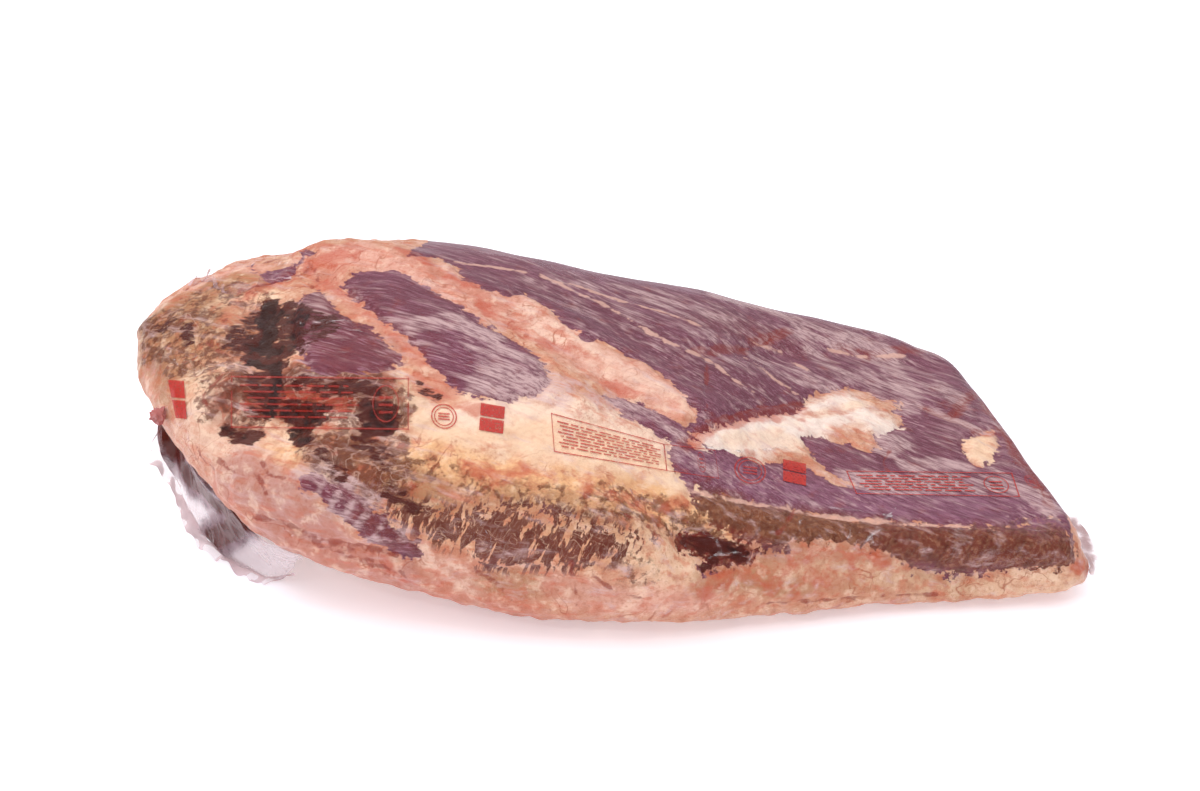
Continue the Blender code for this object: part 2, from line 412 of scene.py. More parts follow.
# %% Silver skin
SILVER_SKIN = (
    (0.7, 5, ((296, 472), (322, 472), (348, 484))),
    (0.66, 2.2, ((324, 482), (316, 496))),
    (0.66, 2.2, ((340, 490), (330, 508))),
    (0.66, 2.2, ((354, 501), (342, 518))),
    (0.66, 2.2, ((368, 513), (354, 530))),
    (0.66, 2.2, ((382, 526), (370, 542))),
    (0.6, 4, ((348, 484), (376, 504), (404, 530))),
    (0.66, 8, ((418, 326), (436, 322), (450, 318))),
    (0.85, 8, ((456, 324), (474, 328), (492, 336))),
    (0.52, 6, ((468, 338), (486, 356), (505, 376), (520, 390))),
    (0.72, 12, ((500, 352), (520, 362), (540, 376), (552, 386))),
    (0.22, 46, ((600, 300), (700, 330), (800, 350), (900, 372))),
    (0.72, 9, ((480, 385), (505, 392), (530, 394))),
    (1.0, 11, ((500, 372), (530, 386), (556, 394))),
    (0.6, 9, ((560, 384), (590, 392), (620, 402), (650, 416), (676, 434))),
    (0.5, 7, ((672, 452), (700, 462), (725, 474))),
    (0.75, 9, ((717, 296), (767, 309), (804, 324), (830, 336))),
    (0.8, 11, ((800, 334), (840, 340), (880, 344), (925, 346))),
    (0.55, 10, ((640, 300), (690, 306), (720, 318))),
    (0.6, 9, ((795, 340), (812, 352), (830, 364))),
    (0.62, 9, ((758, 358), (780, 366), (805, 380), (830, 384))),
    (0.6, 8, ((850, 372), (872, 382), (900, 390))),
    (0.75, 7, ((884, 436), (900, 442), (886, 450))),
    (0.75, 8, ((908, 466), (935, 462), (962, 466))),
    (0.8, 11, ((852, 478), (890, 484), (930, 482), (975, 484), (1012, 486), (1034, 490))),
    (0.7, 9, ((1000, 470), (1018, 482), (1036, 498), (1050, 508))),
    (0.55, 7, ((950, 352), (962, 372), (985, 400), (1002, 428))),
    (0.5, 8, ((940, 384), (955, 396), (965, 412))),
    (0.5, 9, ((560, 262), (620, 286), (680, 300))),
    (0.5, 8, ((308, 300), (318, 312), (312, 322))),
    (0.5, 6, ((398, 366), (404, 372), (396, 378))),
    (0.6, 30, ((190, 125, 34), (120, 138, 36), (40, 142, 44), (-50, 143, 56))),
)
silver_skin = field(SILVER_SKIN)
print("silver skin covers", int((silver_skin > HALF).sum()), "vertices")

# %% [markdown]
# ## Dark blood and brown crust
#
# Blood has clotted in the hollow of the thick end and left smaller dark patches round it, and the
# air has dried the surface there to a brown crust. The clot is its outline, darkest in the middle,
# and strokes for what lies round it. A strength above 1 keeps a stroke dark out to its rim.

# %% Dark blood
DARK_BLOOD = (
    (0.76, 5, ((714, 552), (730, 549), (744, 554))),
    (1.15, 6, ((272, 305), (264, 322), (272, 334), (262, 350), (280, 350))),
    (1.1, 4, ((252, 362), (262, 366), (278, 364))),
    (1.15, 4, ((277, 366), (276, 380), (274, 396), (271, 414))),
    (0.85, 9, ((284, 314), (300, 318), (296, 334), (290, 348))),
    (0.8, 8, ((250, 340), (256, 352), (262, 358))),
    (0.66, 9, ((312, 322), (330, 320), (318, 334))),
    (0.6, 8, ((234, 344), (240, 330), (250, 322))),
    (0.85, 8, ((290, 410), (304, 414), (318, 412), (306, 428))),
    (0.9, 6, ((296, 432), (303, 442))),
    (0.66, 8, ((255, 376), (262, 390), (258, 408))),
    (0.85, 8, ((366, 408), (380, 412), (388, 422), (372, 426))),
    (0.7, 7, ((340, 386), (360, 384), (372, 392))),
    (0.66, 6, ((300, 382), (316, 386), (328, 394))),
    (0.6, 6, ((360, 442), (374, 448), (386, 462))),
    (0.55, 5, ((318, 452), (330, 464), (342, 474))),
    (0.72, 7, ((228, 432), (244, 438), (256, 434))),
    (0.62, 5, ((186, 328), (190, 342))),
    (0.6, 4, ((156, 326), (164, 330), (172, 320))),
    (0.6, 6, ((388, 492), (404, 502), (420, 512))),
    (0.56, 5, ((420, 384), (430, 392), (436, 398))),
)
CLOT_EDGE, CLOT_SLOPE, CLOT_MOST, CLOT_FRINGE = 0.56, 40, 0.72, 3
clotted = np.clip(CLOT_EDGE + clot / CLOT_SLOPE, 0, CLOT_MOST) * (clot > -CLOT_FRINGE)
dark_blood = np.maximum(field(DARK_BLOOD), clotted)
print("the dark patches cover", int((dark_blood > HALF).sum()), "vertices")

# %% Brown crust
BROWN_CRUST = (
    (0.42, 14, ((196, 300), (226, 292), (250, 300))),
    (0.45, 18, ((196, 356), (222, 366), (226, 396))),
    (0.75, 12, ((235, 380), (260, 400), (240, 425))),
    (0.9, 12, ((290, 385), (330, 382), (370, 385))),
    (0.85, 14, ((300, 405), (330, 400), (392, 410))),
    (0.6, 12, ((262, 320), (250, 340), (232, 350))),
    (0.75, 14, ((320, 450), (345, 466), (370, 480))),
    (0.7, 12, ((350, 430), (390, 450), (400, 480))),
    (0.34, 10, ((417, 466), (470, 484), (530, 494), (590, 506))),
    (0.5, 12, ((600, 500), (650, 512), (700, 524))),
    (0.6, 7, ((660, 508), (690, 524), (712, 530))),
    (0.6, 9, ((720, 498), (760, 508), (800, 514))),
    (0.7, 12, ((148, 326), (168, 320), (190, 324))),
    (0.5, 14, ((150, 345), (170, 350), (180, 366))),
    (0.46, 16, ((196, 316), (214, 330), (226, 346))),
    (0.5, 9, ((224, 376), (205, 392), (208, 410))),
    (0.3, 8, ((590, 556), (620, 562), (650, 574), (626, 584))),
)
brown_crust = field(BROWN_CRUST)
print("brown crust covers", int((brown_crust > HALF).sum()), "vertices")

# %% [markdown]
# ## Calm fat and red stains
#
# A thick pad of fat is even and pale, where thin fat shows every lobe and vein. One field says
# where the fat is calm, and the material quietens its patterns there. Red juice has soaked in
# along the seams between muscle and fat and along the edges, most of all at the thin end.

# %% Calm fat
CALM_FAT = (
    (0.8, 30, ((-190, 104, 60), (-110, 134, 60), (0, 142, 46), (100, 134, 20))),
    (1.0, 22, ((440, 412), (500, 420), (560, 436), (620, 452), (670, 470))),
    (0.9, 14, ((720, 440), (790, 426), (850, 405), (880, 425))),
    (0.8, 12, ((975, 440), (985, 455))),
    (0.6, 16, ((590, 350), (640, 374), (680, 410))),
    (0.6, 14, ((196, 396), (204, 420), (214, 440))),
)
calm_fat = field(CALM_FAT)
print("calm fat covers", int((calm_fat > HALF).sum()), "vertices")

# %% Red stains
THIN_END_EDGE = (
    (942, 352), (960, 372), (976, 393), (998, 424), (1014, 452), (1035, 478), (1050, 506),
)
RED_STAIN = (
    (0.6, 5, ((230, 262), (262, 254), (290, 250))),
    (0.6, 5, ((300, 252), (312, 270), (322, 284))),
    (0.9, 4, THIN_END_EDGE),
    (0.66, 8, ((-160, 116, 72), (-130, 128, 50), (-104, 135, 36))),
    (0.6, 8, ((20, 142, 48), (56, 140, 30), (96, 134, 18))),
    (0.6, 9, ((-226, 56, 50), (-212, 76, 34), (-190, 98, 22))),
    (0.95, 5, ((684, 446), (712, 428), (740, 420), (770, 413), (800, 406))),
    (0.9, 5, ((752, 342), (770, 338), (788, 330))),
    (0.7, 9, ((320, 262), (334, 252), (346, 266))),
    (0.6, 8, ((300, 252), (320, 250), (345, 246))),
    (0.8, 6, ((404, 250), (418, 256), (428, 262))),
    (0.7, 5, ((452, 276), (462, 280), (470, 284))),
    (0.8, 6, ((486, 308), (505, 322), (524, 334))),
    (0.65, 6, ((538, 342), (560, 348), (580, 352))),
    (0.7, 6, ((606, 384), (618, 388), (630, 394))),
    (0.9, 6, ((414, 376), (424, 388), (438, 398))),
    (0.8, 5, ((436, 398), (456, 404), (476, 408))),
    (0.46, 4, ((320, 275), (357, 306), (395, 335), (425, 366))),
    (0.8, 5, ((703, 352), (720, 350), (741, 350))),
    (0.75, 4, ((700, 432), (730, 424), (764, 418), (790, 416))),
    (0.55, 5, ((800, 418), (830, 412), (858, 410))),
    (0.5, 8, ((840, 350), (880, 356), (925, 350))),
    (0.8, 5, ((955, 362), (975, 384), (990, 406), (1008, 436), (1030, 468), (1056, 500))),
    (0.45, 6, ((800, 552), (840, 556), (880, 560))),
    (0.7, 7, ((706, 578), (712, 590), (724, 580))),
    (0.5, 8, ((740, 575), (790, 575), (850, 578))),
    (0.8, 5, ((1078, 566), (1088, 570))),
    (0.6, 6, ((470, 470), (500, 480), (520, 470))),
    (0.5, 8, ((590, 486), (640, 500), (680, 508))),
    (0.6, 5, ((385, 560), (402, 580), (414, 592))),
    (0.55, 6, ((250, 405), (300, 395), (350, 405))),
    (0.6, 6, ((236, 300), (270, 286), (300, 276))),
)
red_stain = field(RED_STAIN)
print("red stains cover", int((red_stain > HALF).sum()), "vertices")

# %% [markdown]
# ## Thin lines
#
# Veins, the pale lines of fat in a muscle, a painted highlight along the top of the cut edge and
# creases are narrower than the mesh's squares. The mesh only holds each vertex's distance to the
# nearest line, which stays exact between vertices, and the material draws the line from it as
# thin as it really is.

# %% Lines
FARTHEST = 20
FAT_AND_HIGHLIGHT_LINES = (
    ((540, 275), (600, 303), (638, 325), (657, 337), (680, 348), (700, 356)),
    ((707, 360), (730, 377), (753, 392)),
    ((745, 358), (772, 378), (809, 400)),
    ((829, 350), (861, 357), (904, 356)),
    ((752, 342), (780, 352), (810, 372)),
    # This line along the top of the cut edge is a painted highlight, where the film glints on it.
    ((690, 489), (750, 502), (809, 512), (889, 521), (970, 526)),
    ((570, 284), (640, 306), (700, 326)),
    ((455, 262), (500, 268), (560, 283)),
)
RED_LINES = (
    ((256, 514), (286, 524), (316, 536), (344, 544), (372, 548), (396, 556)),
    ((300, 530), (318, 545), (344, 556), (372, 560)),
    ((186, 290), (200, 282), (216, 272), (232, 266)),
    ((226, 262), (244, 256), (262, 252), (280, 250)),
    ((262, 262), (284, 258), (306, 262)),
    ((300, 250), (310, 262), (318, 280)),
    ((284, 270), (300, 276), (312, 286)),
    THIN_END_EDGE,
    ((-196, 96, 30), (-130, 127, 22), (-60, 140, 20)),
    ((-90, 139, 74), (-44, 142, 58), (6, 143, 44)),
    ((60, 139, 34), (104, 133, 25), (156, 122, 20)),
    ((203, 340), (216, 349), (237, 359), (249, 363)),
    ((222, 374), (212, 384), (203, 393), (207, 407)),
    ((707, 362), (707, 385), (706, 410)),
    ((707, 421), (734, 415), (763, 406), (791, 404), (806, 401)),
    ((740, 350), (766, 343), (782, 331)),
    ((795, 508), (788, 522), (778, 534)),
    ((890, 450), (884, 460), (888, 470)),
    ((570, 562), (573, 582), (580, 610)),
    ((360, 578), (417, 598), (452, 601), (484, 605)),
    ((252, 518), (275, 522), (302, 531), (329, 543), (340, 548), (379, 552)),
    ((768, 604), (830, 600), (937, 595)),
    ((626, 513), (661, 536), (700, 545)),
    ((400, 570), (412, 584), (418, 600)),
    ((330, 548), (360, 562), (396, 572)),
    ((478, 572), (500, 586), (512, 600)),
    ((590, 572), (612, 590), (640, 598)),
    ((300, 560), (330, 566), (345, 580)),
    ((216, 458), (226, 466), (234, 472)),
    ((196, 446), (204, 462), (212, 470)),
    ((254, 472), (262, 484), (266, 494)),
    ((262, 462), (268, 474), (284, 478)),
)


def nearest_line(lines, points=skin):
    """Each point's distance to the nearest of some lines, in millimetres, held below a limit."""
    gaps = [distance_along(points, on_meat(spots)) for spots in lines]
    return np.minimum(np.min(gaps, axis=0), FARTHEST)


fat_and_highlight_line = nearest_line(FAT_AND_HIGHLIGHT_LINES)
red_line = nearest_line(RED_LINES)
print("pale lines reach", int((fat_and_highlight_line < 1).sum()), "vertices")

# %% [markdown]
# ## Washes of colour
#
# Fat is never one colour: it is cream in thick pads, pink where it is thin over muscle, yellow
# and brown where air has reached it. These broad changes are washes, laid over each other like
# water colour and kept as a colour on each vertex. Fat and muscle have a wash each, so that the
# edge between them stays sharp.

# %% Colours of fat
def linear(red, green, blue):
    """A colour given as it shows on a screen, as the numbers that light is worked out with."""
    return np.array([(value / 255) ** 2.2 for value in (red, green, blue)])


def washed(base, washes):
    """A colour for each vertex: the base with washes laid over it in turn."""
    colours = np.tile(base, (len(skin), 1))
    for colour, strength, reach, spots in washes:
        share = strength * stroke_shares(reach, spots)[:, None]
        colours = colours * (1 - share) + colour * share
    return colours


FAT = linear(206, 150, 122)
CREAM = linear(240, 204, 172)
PALE_CREAM = linear(244, 216, 196)
WHITE_FAT = linear(246, 228, 216)
PINK_FAT = linear(220, 164, 146)
ROSE_FAT = linear(194, 122, 102)
SEAM_FAT = linear(206, 140, 120)
YELLOW_FAT = linear(232, 180, 132)
TAN_FAT = linear(172, 124, 90)
OLIVE_FAT = linear(154, 116, 84)
RUST_FAT = linear(170, 104, 78)
SKIN_PINK = linear(190, 138, 127)
GREY_FAT = linear(214, 188, 176)
BROWN_FAT = linear(140, 90, 66)
DARK_RUST = linear(122, 58, 46)

print("fat before its washes is", FAT.round(2))

# %% Washes over the fat
FAT_WASHES = (
    (ROSE_FAT, 0.8, 40, ((-200, -90, 30), (-150, -110, 20), (-100, -120, 10), (-60, -128, 8))),
    (PALE_CREAM, 0.7, 60, ((-120, 0, 0), (0, 0, 0), (120, 0, 0), (200, 0, 0))),
    (CREAM, 0.9, 26, ((450, 428), (520, 430), (600, 450), (680, 478))),
    (PALE_CREAM, 0.7, 12, ((470, 412), (540, 405), (600, 415), (660, 440))),
    (PINK_FAT, 1.0, 18, ((350, 256), (420, 270), (470, 298), (530, 318), (590, 358), (670, 400))),
    (PALE_CREAM, 0.45, 9, ((525, 315), (560, 335), (610, 365), (650, 385))),
    (ROSE_FAT, 0.6, 8, ((420, 262), (470, 292), (520, 322))),
    (SEAM_FAT, 0.8, 8, ((318, 268), (357, 304), (395, 333), (425, 364), (450, 390))),
    (PINK_FAT, 0.8, 10, ((298, 262), (330, 254), (360, 246))),
    (YELLOW_FAT, 0.9, 13, ((417, 458), (470, 472), (530, 484), (600, 492), (650, 500))),
    (YELLOW_FAT, 0.35, 14, ((400, 500), (470, 530), (560, 545), (640, 545))),
    (TAN_FAT, 0.45, 12, ((420, 484), (480, 500), (540, 504), (600, 517), (650, 530))),
    (YELLOW_FAT, 0.9, 10, ((650, 506), (690, 512), (730, 522), (720, 530))),
    (WHITE_FAT, 0.95, 16, ((720, 440), (790, 426), (850, 405), (880, 425))),
    (CREAM, 0.6, 5, ((812, 416), (846, 408), (870, 402))),
    (CREAM, 0.5, 7, ((730, 440), (780, 436), (800, 448))),
    (CREAM, 0.9, 12, ((975, 440), (985, 455))),
    (TAN_FAT, 0.9, 20, ((150, 330), (165, 350), (180, 375))),
    (OLIVE_FAT, 0.9, 14, ((146, 330), (160, 318), (185, 312), (200, 325))),
    (BROWN_FAT, 0.5, 8, ((142, 340), (150, 356), (160, 366))),
    (TAN_FAT, 0.9, 20, ((185, 305), (215, 292), (250, 284))),
    (CREAM, 0.8, 8, ((222, 302), (250, 294), (272, 296))),
    (PINK_FAT, 0.8, 8, ((196, 284), (230, 270), (262, 268))),
    (TAN_FAT, 0.7, 14, ((190, 305), (215, 320), (235, 334))),
    (TAN_FAT, 0.7, 12, ((200, 350), (225, 345), (245, 330))),
    (CREAM, 0.7, 16, ((190, 385), (215, 380), (222, 405))),
    (PALE_CREAM, 0.5, 16, ((200, 410), (215, 440), (250, 465), (280, 480))),
    (DARK_RUST, 0.95, 20, ((240, 395), (290, 392), (340, 390), (392, 400))),
    (RUST_FAT, 0.6, 12, ((250, 322), (246, 340), (240, 352))),
    (PALE_CREAM, 0.8, 6, ((330, 416), (350, 421), (362, 414))),
    (CREAM, 0.8, 6, ((398, 404), (404, 420), (398, 436))),
    (CREAM, 0.9, 8, ((270, 430), (284, 440), (292, 446))),
    (YELLOW_FAT, 0.7, 9, ((300, 450), (290, 458), (270, 452))),
    (BROWN_FAT, 0.8, 16, ((330, 450), (365, 462), (395, 485))),
    (TAN_FAT, 0.7, 10, ((400, 470), (425, 490), (440, 505))),
    (CREAM, 0.8, 7, ((408, 375), (412, 400), (418, 415))),
    (BROWN_FAT, 0.6, 12, ((320, 446), (345, 460), (340, 480))),
    (GREY_FAT, 0.5, 6, ((316, 452), (334, 466), (326, 476))),
    (SKIN_PINK, 0.8, 16, ((240, 476), (280, 500), (320, 524))),
    (SKIN_PINK, 0.8, 14, ((270, 520), (310, 540), (350, 556), (400, 576))),
    (SKIN_PINK, 0.6, 10, ((236, 462), (262, 470), (280, 480))),
    (ROSE_FAT, 0.5, 12, ((306, 545), (344, 556), (376, 564))),
    (PALE_CREAM, 0.5, 8, ((420, 556), (440, 566), (470, 582))),
    (CREAM, 0.6, 12, ((640, 548), (670, 560), (690, 572), (650, 585))),
    (TAN_FAT, 0.65, 9, ((490, 580), (560, 590), (620, 594))),
    (PINK_FAT, 0.7, 12, ((560, 590), (620, 600), (700, 600))),
    (CREAM, 0.6, 9, ((790, 566), (860, 568), (920, 582), (1000, 586), (1060, 584))),
    (TAN_FAT, 0.35, 14, ((760, 570), (860, 572), (960, 582))),
    (RUST_FAT, 0.5, 7, ((780, 552), (840, 550), (880, 556))),
    (TAN_FAT, 0.6, 8, ((700, 585), (740, 580), (800, 590))),
    (RUST_FAT, 0.5, 8, ((985, 400), (1008, 436), (1030, 468), (1056, 500))),
    (CREAM, 0.8, 34, ((-190, 104, 60), (-110, 134, 60), (0, 142, 46))),
    (PALE_CREAM, 0.7, 20, ((-150, 116, 96), (-70, 140, 84), (20, 142, 50))),
    (ROSE_FAT, 0.7, 18, ((-206, 84, 36), (-126, 128, 26), (-40, 140, 22))),
    (YELLOW_FAT, 0.7, 16, ((40, 139, 26), (110, 132, 20), (190, 112, 16))),
    (TAN_FAT, 0.6, 20, ((-246, 20, 80), (-232, 50, 74), (-206, 88, 84))),
    (SEAM_FAT, 0.6, 9, ((-70, 142, 64), (0, 143, 40), (60, 140, 24))),
    (WHITE_FAT, 0.7, 14, ((-100, 136, 30), (-60, 141, 34), (-20, 143, 28))),
)
fat_wash = washed(FAT, FAT_WASHES)
print("the mean colour of the fat is", fat_wash.mean(0).round(2))

# %% Washes over the muscle
PURPLE = linear(124, 74, 90)
DEEP_PURPLE = linear(110, 58, 72)
RED_MUSCLE = linear(120, 60, 66)
VIOLET = linear(136, 88, 110)
MARBLED_BROWN = linear(118, 70, 58)
CUT_BROWN = linear(122, 72, 52)
CUT_RED = linear(116, 60, 48)
POCKET_RED = linear(118, 46, 40)
LEAN_WASHES = (
    (DEEP_PURPLE, 0.5, 30, ((430, 300), (520, 290), (640, 340), (740, 390))),
    (DEEP_PURPLE, 0.6, 16, ((392, 292), (420, 312), (444, 326))),
    (RED_MUSCLE, 0.9, 30, ((310, 300), (350, 340), (380, 360))),
    (VIOLET, 0.8, 16, ((700, 470), (760, 485), (850, 500), (950, 510), (1050, 512))),
    (RED_MUSCLE, 0.5, 14, ((700, 320), (760, 330), (790, 345))),
    (DEEP_PURPLE, 0.6, 14, ((850, 455), (900, 460), (940, 440), (960, 400))),
    (MARBLED_BROWN, 1.0, 28, ((400, 510), (470, 535), (540, 540), (620, 545))),
    (RED_MUSCLE, 0.7, 12, ((320, 486), (356, 508), (400, 540))),
    (CUT_RED, 0.8, 9, ((480, 551), (540, 552), (600, 551))),
    (CUT_BROWN, 1.0, 15, ((712, 508), (760, 522), (830, 528), (870, 535))),
    (CUT_RED, 1.0, 16, ((890, 542), (950, 550), (1020, 553), (1070, 555))),
    (POCKET_RED, 1.0, 13, ((690, 540), (720, 550), (748, 556))),
)
lean_wash = washed(PURPLE, LEAN_WASHES)
print("the mean colour of the muscle is", lean_wash.mean(0).round(2))

# %% [markdown]
# ## Relief
#
# The solid already has the large swells. What is added here is finer: a shallow furrow where
# muscle meets fat, soft lumps in the fat, folds in the dark patches, crumbs on the brown crust, and
# a ridge or a crease along the thin lines. Each is a height and a width in millimetres. Each vertex
# moves along its own normal. The lowest ones stay just above the floor, to leave room for the film
# that lies under the meat.

# %% Relief on the meat
FURROW = (1.5, 2.2)
PALE_RIDGE = (0.35, 1.6)
CREASE = (0.7, 1.8)
FAT_LUMPS = ((1.4, 10), (0.8, 4.8))
BLOOD_FOLDS = (1.9, 6)
CRUST_CRUMBS = (1.3, 4.5)
LOWEST = 0.5


def ridge(gap, height, width):
    """How high a soft ridge is at a distance from its line."""
    return height * np.exp(-((gap / width) ** 2))


def vertex_normals(mesh):
    """The direction outwards at each vertex."""
    normals = np.zeros(len(mesh.vertices) * 3, np.float32)
    mesh.vertex_normals.foreach_get("vector", normals)
    return normals.reshape(-1, 3).astype(float)


def move_vertices(piece, places):
    """Put the piece's vertices at these places, given in millimetres."""
    piece.data.vertices.foreach_set("co", (places * MM).astype(np.float32).ravel())
    piece.data.update()


fat_share = np.clip(0.5 - lean / 2, 0, 1) * (1 - np.clip(dark_blood, 0, 1))
rise = ridge(fat_and_highlight_line, *PALE_RIDGE) - ridge(lean, *FURROW) - ridge(red_line, *CREASE)
for height, width in FAT_LUMPS:
    rise += fat_share * height * noise_at(skin, width)
rise += dark_blood * BLOOD_FOLDS[0] * noise_at(skin * (1, 1, 2), BLOOD_FOLDS[1])
rise += brown_crust * CRUST_CRUMBS[0] * noise_at(skin, CRUST_CRUMBS[1])
moved = skin + vertex_normals(meat.data) * rise[:, None]
moved[:, 2] = np.maximum(moved[:, 2], LOWEST)
move_vertices(meat, moved)
print("the relief runs from", rise.min().round(1), "to", rise.max().round(1), "millimetres")

# %% Fields and washes on the mesh
def keep_number(piece, name, values):
    """Store one number for each vertex."""
    store = piece.data.attributes.new(name, "FLOAT", "POINT")
    store.data.foreach_set("value", np.asarray(values, np.float32))


def keep_colour(piece, name, colours):
    """Store one colour for each vertex."""
    store = piece.data.attributes.new(name, "FLOAT_COLOR", "POINT")
    opaque = np.hstack([colours, np.ones((len(colours), 1))])
    store.data.foreach_set("color", opaque.astype(np.float32).ravel())


MARBLED_MOST = 8
POOL_DARK, POOL_SLOPE, POOL_EDGE = 0.62, 4, 0.4
pooled = POOL_DARK * np.clip(POOL_EDGE + blood_pocket / POOL_SLOPE, 0, 1)
for name, values in (
    ("muscle", np.maximum(top_muscles, strip_muscle)),
    ("marbled", np.minimum(marbled_muscle, MARBLED_MOST)),
    ("cut", np.maximum(cut_edge, blood_pocket)),
    ("silver", silver_skin),
    ("blood", np.maximum(dark_blood, pooled)),
    ("crust", brown_crust),
    ("stain", red_stain),
    ("calm", calm_fat),
    ("fat_and_highlight_line", fat_and_highlight_line),
    ("red_line", red_line),
):
    keep_number(meat, name, values)
keep_colour(meat, "fat_wash", fat_wash)
keep_colour(meat, "lean_wash", lean_wash)
print("the meat's mesh holds", [store.name for store in meat.data.attributes])

# %% [markdown]
# ## Helpers for materials
#
# A material is a tree of small nodes. One helper adds a node and joins or sets its inputs in one
# step. Two effects come back many times, so each is a node group: streaks, which are noise drawn
# out along one direction, and a ragged cut, which turns a smooth field into a mask with a frayed
# edge.

# %% Node helpers
def feed(tree, node, inputs):
    """Set a node's inputs to values or join them to other sockets, and give the node back."""
    for name, value in inputs.items():
        if isinstance(value, bpy.types.NodeSocket):
            tree.links.new(value, node.inputs[name])
        else:
            node.inputs[name].default_value = value
    return node


def add(tree, kind, inputs=(), **settings):
    """A new node with its settings and its inputs."""
    made = tree.nodes.new(kind)
    for name, value in settings.items():
        setattr(made, name, value)
    return feed(tree, made, dict(inputs))


def number(tree, name):
    """The output of a number kept on the vertices."""
    return add(tree, "ShaderNodeAttribute", attribute_name=name).outputs["Fac"]


def colour_of(tree, name):
    """The output of a colour kept on the vertices."""
    return add(tree, "ShaderNodeAttribute", attribute_name=name).outputs["Color"]


def object_place(tree):
    """The place on the piece that its patterns read."""
    return add(tree, "ShaderNodeTexCoord").outputs["Object"]


def between(tree, value, low, high, to_low=0.0, to_high=1.0):
    """A value from low to high moved smoothly to another range and held inside it."""
    inputs = {"Value": value, "From Min": low, "From Max": high, "To Min": to_low}
    inputs["To Max"] = to_high
    smooth = add(tree, "ShaderNodeMapRange", inputs, interpolation_type="SMOOTHSTEP")
    return smooth.outputs["Result"]


def worked(operation, tree, first, second):
    """Two values worked into one."""
    return add(tree, "ShaderNodeMath", {0: first, 1: second}, operation=operation).outputs[0]


times = partial(worked, "MULTIPLY")
plus = partial(worked, "ADD")
minus = partial(worked, "SUBTRACT")
larger = partial(worked, "MAXIMUM")
smaller = partial(worked, "MINIMUM")


def blend(tree, mask, under, over, strength=None):
    """The colour under, covered by the colour over where the mask is 1, as far as its strength."""
    share = mask if strength is None else times(tree, mask, strength)
    mix = add(tree, "ShaderNodeMix", {"Factor": share}, data_type="RGBA")
    for socket, colour in ((6, under), (7, over)):
        opaque = colour if isinstance(colour, bpy.types.NodeSocket) else (*colour, 1)
        feed(tree, mix, {socket: opaque})
    return mix.outputs[2]


def noise_value(tree, vector, scale, detail=3.0, roughness=0.55):
    """Noise from 0 to 1."""
    inputs = {"Vector": vector, "Scale": scale, "Detail": detail, "Roughness": roughness}
    return add(tree, "ShaderNodeTexNoise", inputs).outputs["Fac"]


def bumped(tree, shader, height, distance):
    """Raise the shader's surface by a height from 0 to 1 of that distance; gives the normal."""
    inputs = {"Height": height, "Strength": 1.0, "Distance": distance}
    normal = add(tree, "ShaderNodeBump", inputs).outputs["Normal"]
    feed(tree, shader, {"Normal": normal})
    return normal


# %% Streaks and ragged cuts
def new_group(name, inputs, output):
    """An empty node group with its named number or vector inputs and one output."""
    group = bpy.data.node_groups.new(name, "ShaderNodeTree")
    for socket, kind in inputs:
        group.interface.new_socket(socket, in_out="INPUT", socket_type="NodeSocket" + kind)
    group.interface.new_socket(output, in_out="OUTPUT", socket_type="NodeSocketFloat")
    given = add(group, "NodeGroupInput").outputs[: len(inputs)]
    return group, given, add(group, "NodeGroupOutput")


def streaks_group():
    """Noise drawn out along the turned X direction."""
    sockets = (("Vector", "Vector"), ("Turn", "Vector"), ("Long", "Float"), ("Fine", "Float"))
    group, (vector, turn, long, fine), result = new_group("streaks", sockets, "Value")
    turned = add(group, "ShaderNodeMapping", {"Vector": vector, "Rotation": turn})
    scales = add(group, "ShaderNodeCombineXYZ", {"X": long, "Y": fine, "Z": fine})
    inputs = {0: turned.outputs["Vector"], 1: scales.outputs["Vector"]}
    drawn = add(group, "ShaderNodeVectorMath", inputs, operation="MULTIPLY")
    feed(group, result, {"Value": noise_value(group, drawn.outputs[0], 1.0)})
    return group


def ragged_group():
    """A field cut at nought, with its edge moved to and fro by a pattern."""
    sockets = [(name, "Float") for name in ("Field", "Pattern", "Amount", "Soft")]
    group, (value, pattern, amount, soft), result = new_group("ragged cut", sockets, "Mask")
    shifted = plus(group, value, times(group, minus(group, pattern, 0.5), amount))
    mask = between(group, shifted, times(group, soft, -1.0), soft)
    feed(group, result, {"Mask": mask})
    return group


STREAKS = streaks_group()
RAGGED_CUT = ragged_group()


def streaks(tree, vector, turn, long, fine):
    """The streaks group in a material: turn in degrees, both scales in lumps to the metre."""
    inputs = {"Vector": vector, "Turn": [radians(a) for a in turn], "Long": long, "Fine": fine}
    return add(tree, "ShaderNodeGroup", inputs, node_tree=STREAKS).outputs["Value"]


def ragged(tree, value, pattern, amount, soft):
    """The ragged cut in a material."""
    inputs = {"Field": value, "Pattern": pattern, "Amount": amount, "Soft": soft}
    return add(tree, "ShaderNodeGroup", inputs, node_tree=RAGGED_CUT).outputs["Mask"]


def new_material(name):
    """A material, its tree and its Principled shader."""
    material = bpy.data.materials.new(name)
    material.use_nodes = True
    return material, material.node_tree, material.node_tree.nodes["Principled BSDF"]


print("node groups:", [group.name for group in bpy.data.node_groups])

# %% [markdown]
# ## The meat's finish
#
# One material covers the whole of the meat, because its parts run into each other without a
# seam. It is built in layers: fat with its lobes and network of fine veins, brown crust, red
# stains, then muscle with its fibres, silver skin, thin lines and at last the dark blood. Each
# layer covers what is under it through a mask cut from its field.

# %% Fat
FIBRE_TURN = (0, 0, 28)
MEAT_BUMP = 1.1 * MM


def curls(tree, place, scale, width):
    """Thin curled lines: where bent noise passes its middle value."""
    inputs = {"Vector": place, "Scale": scale, "Detail": 2.5, "Distortion": 1.1}
    bent = add(tree, "ShaderNodeTexNoise", inputs).outputs["Fac"]
    off = worked("ABSOLUTE", tree, minus(tree, bent, 0.5), 0.0)
    return between(tree, off, width, 0.0)


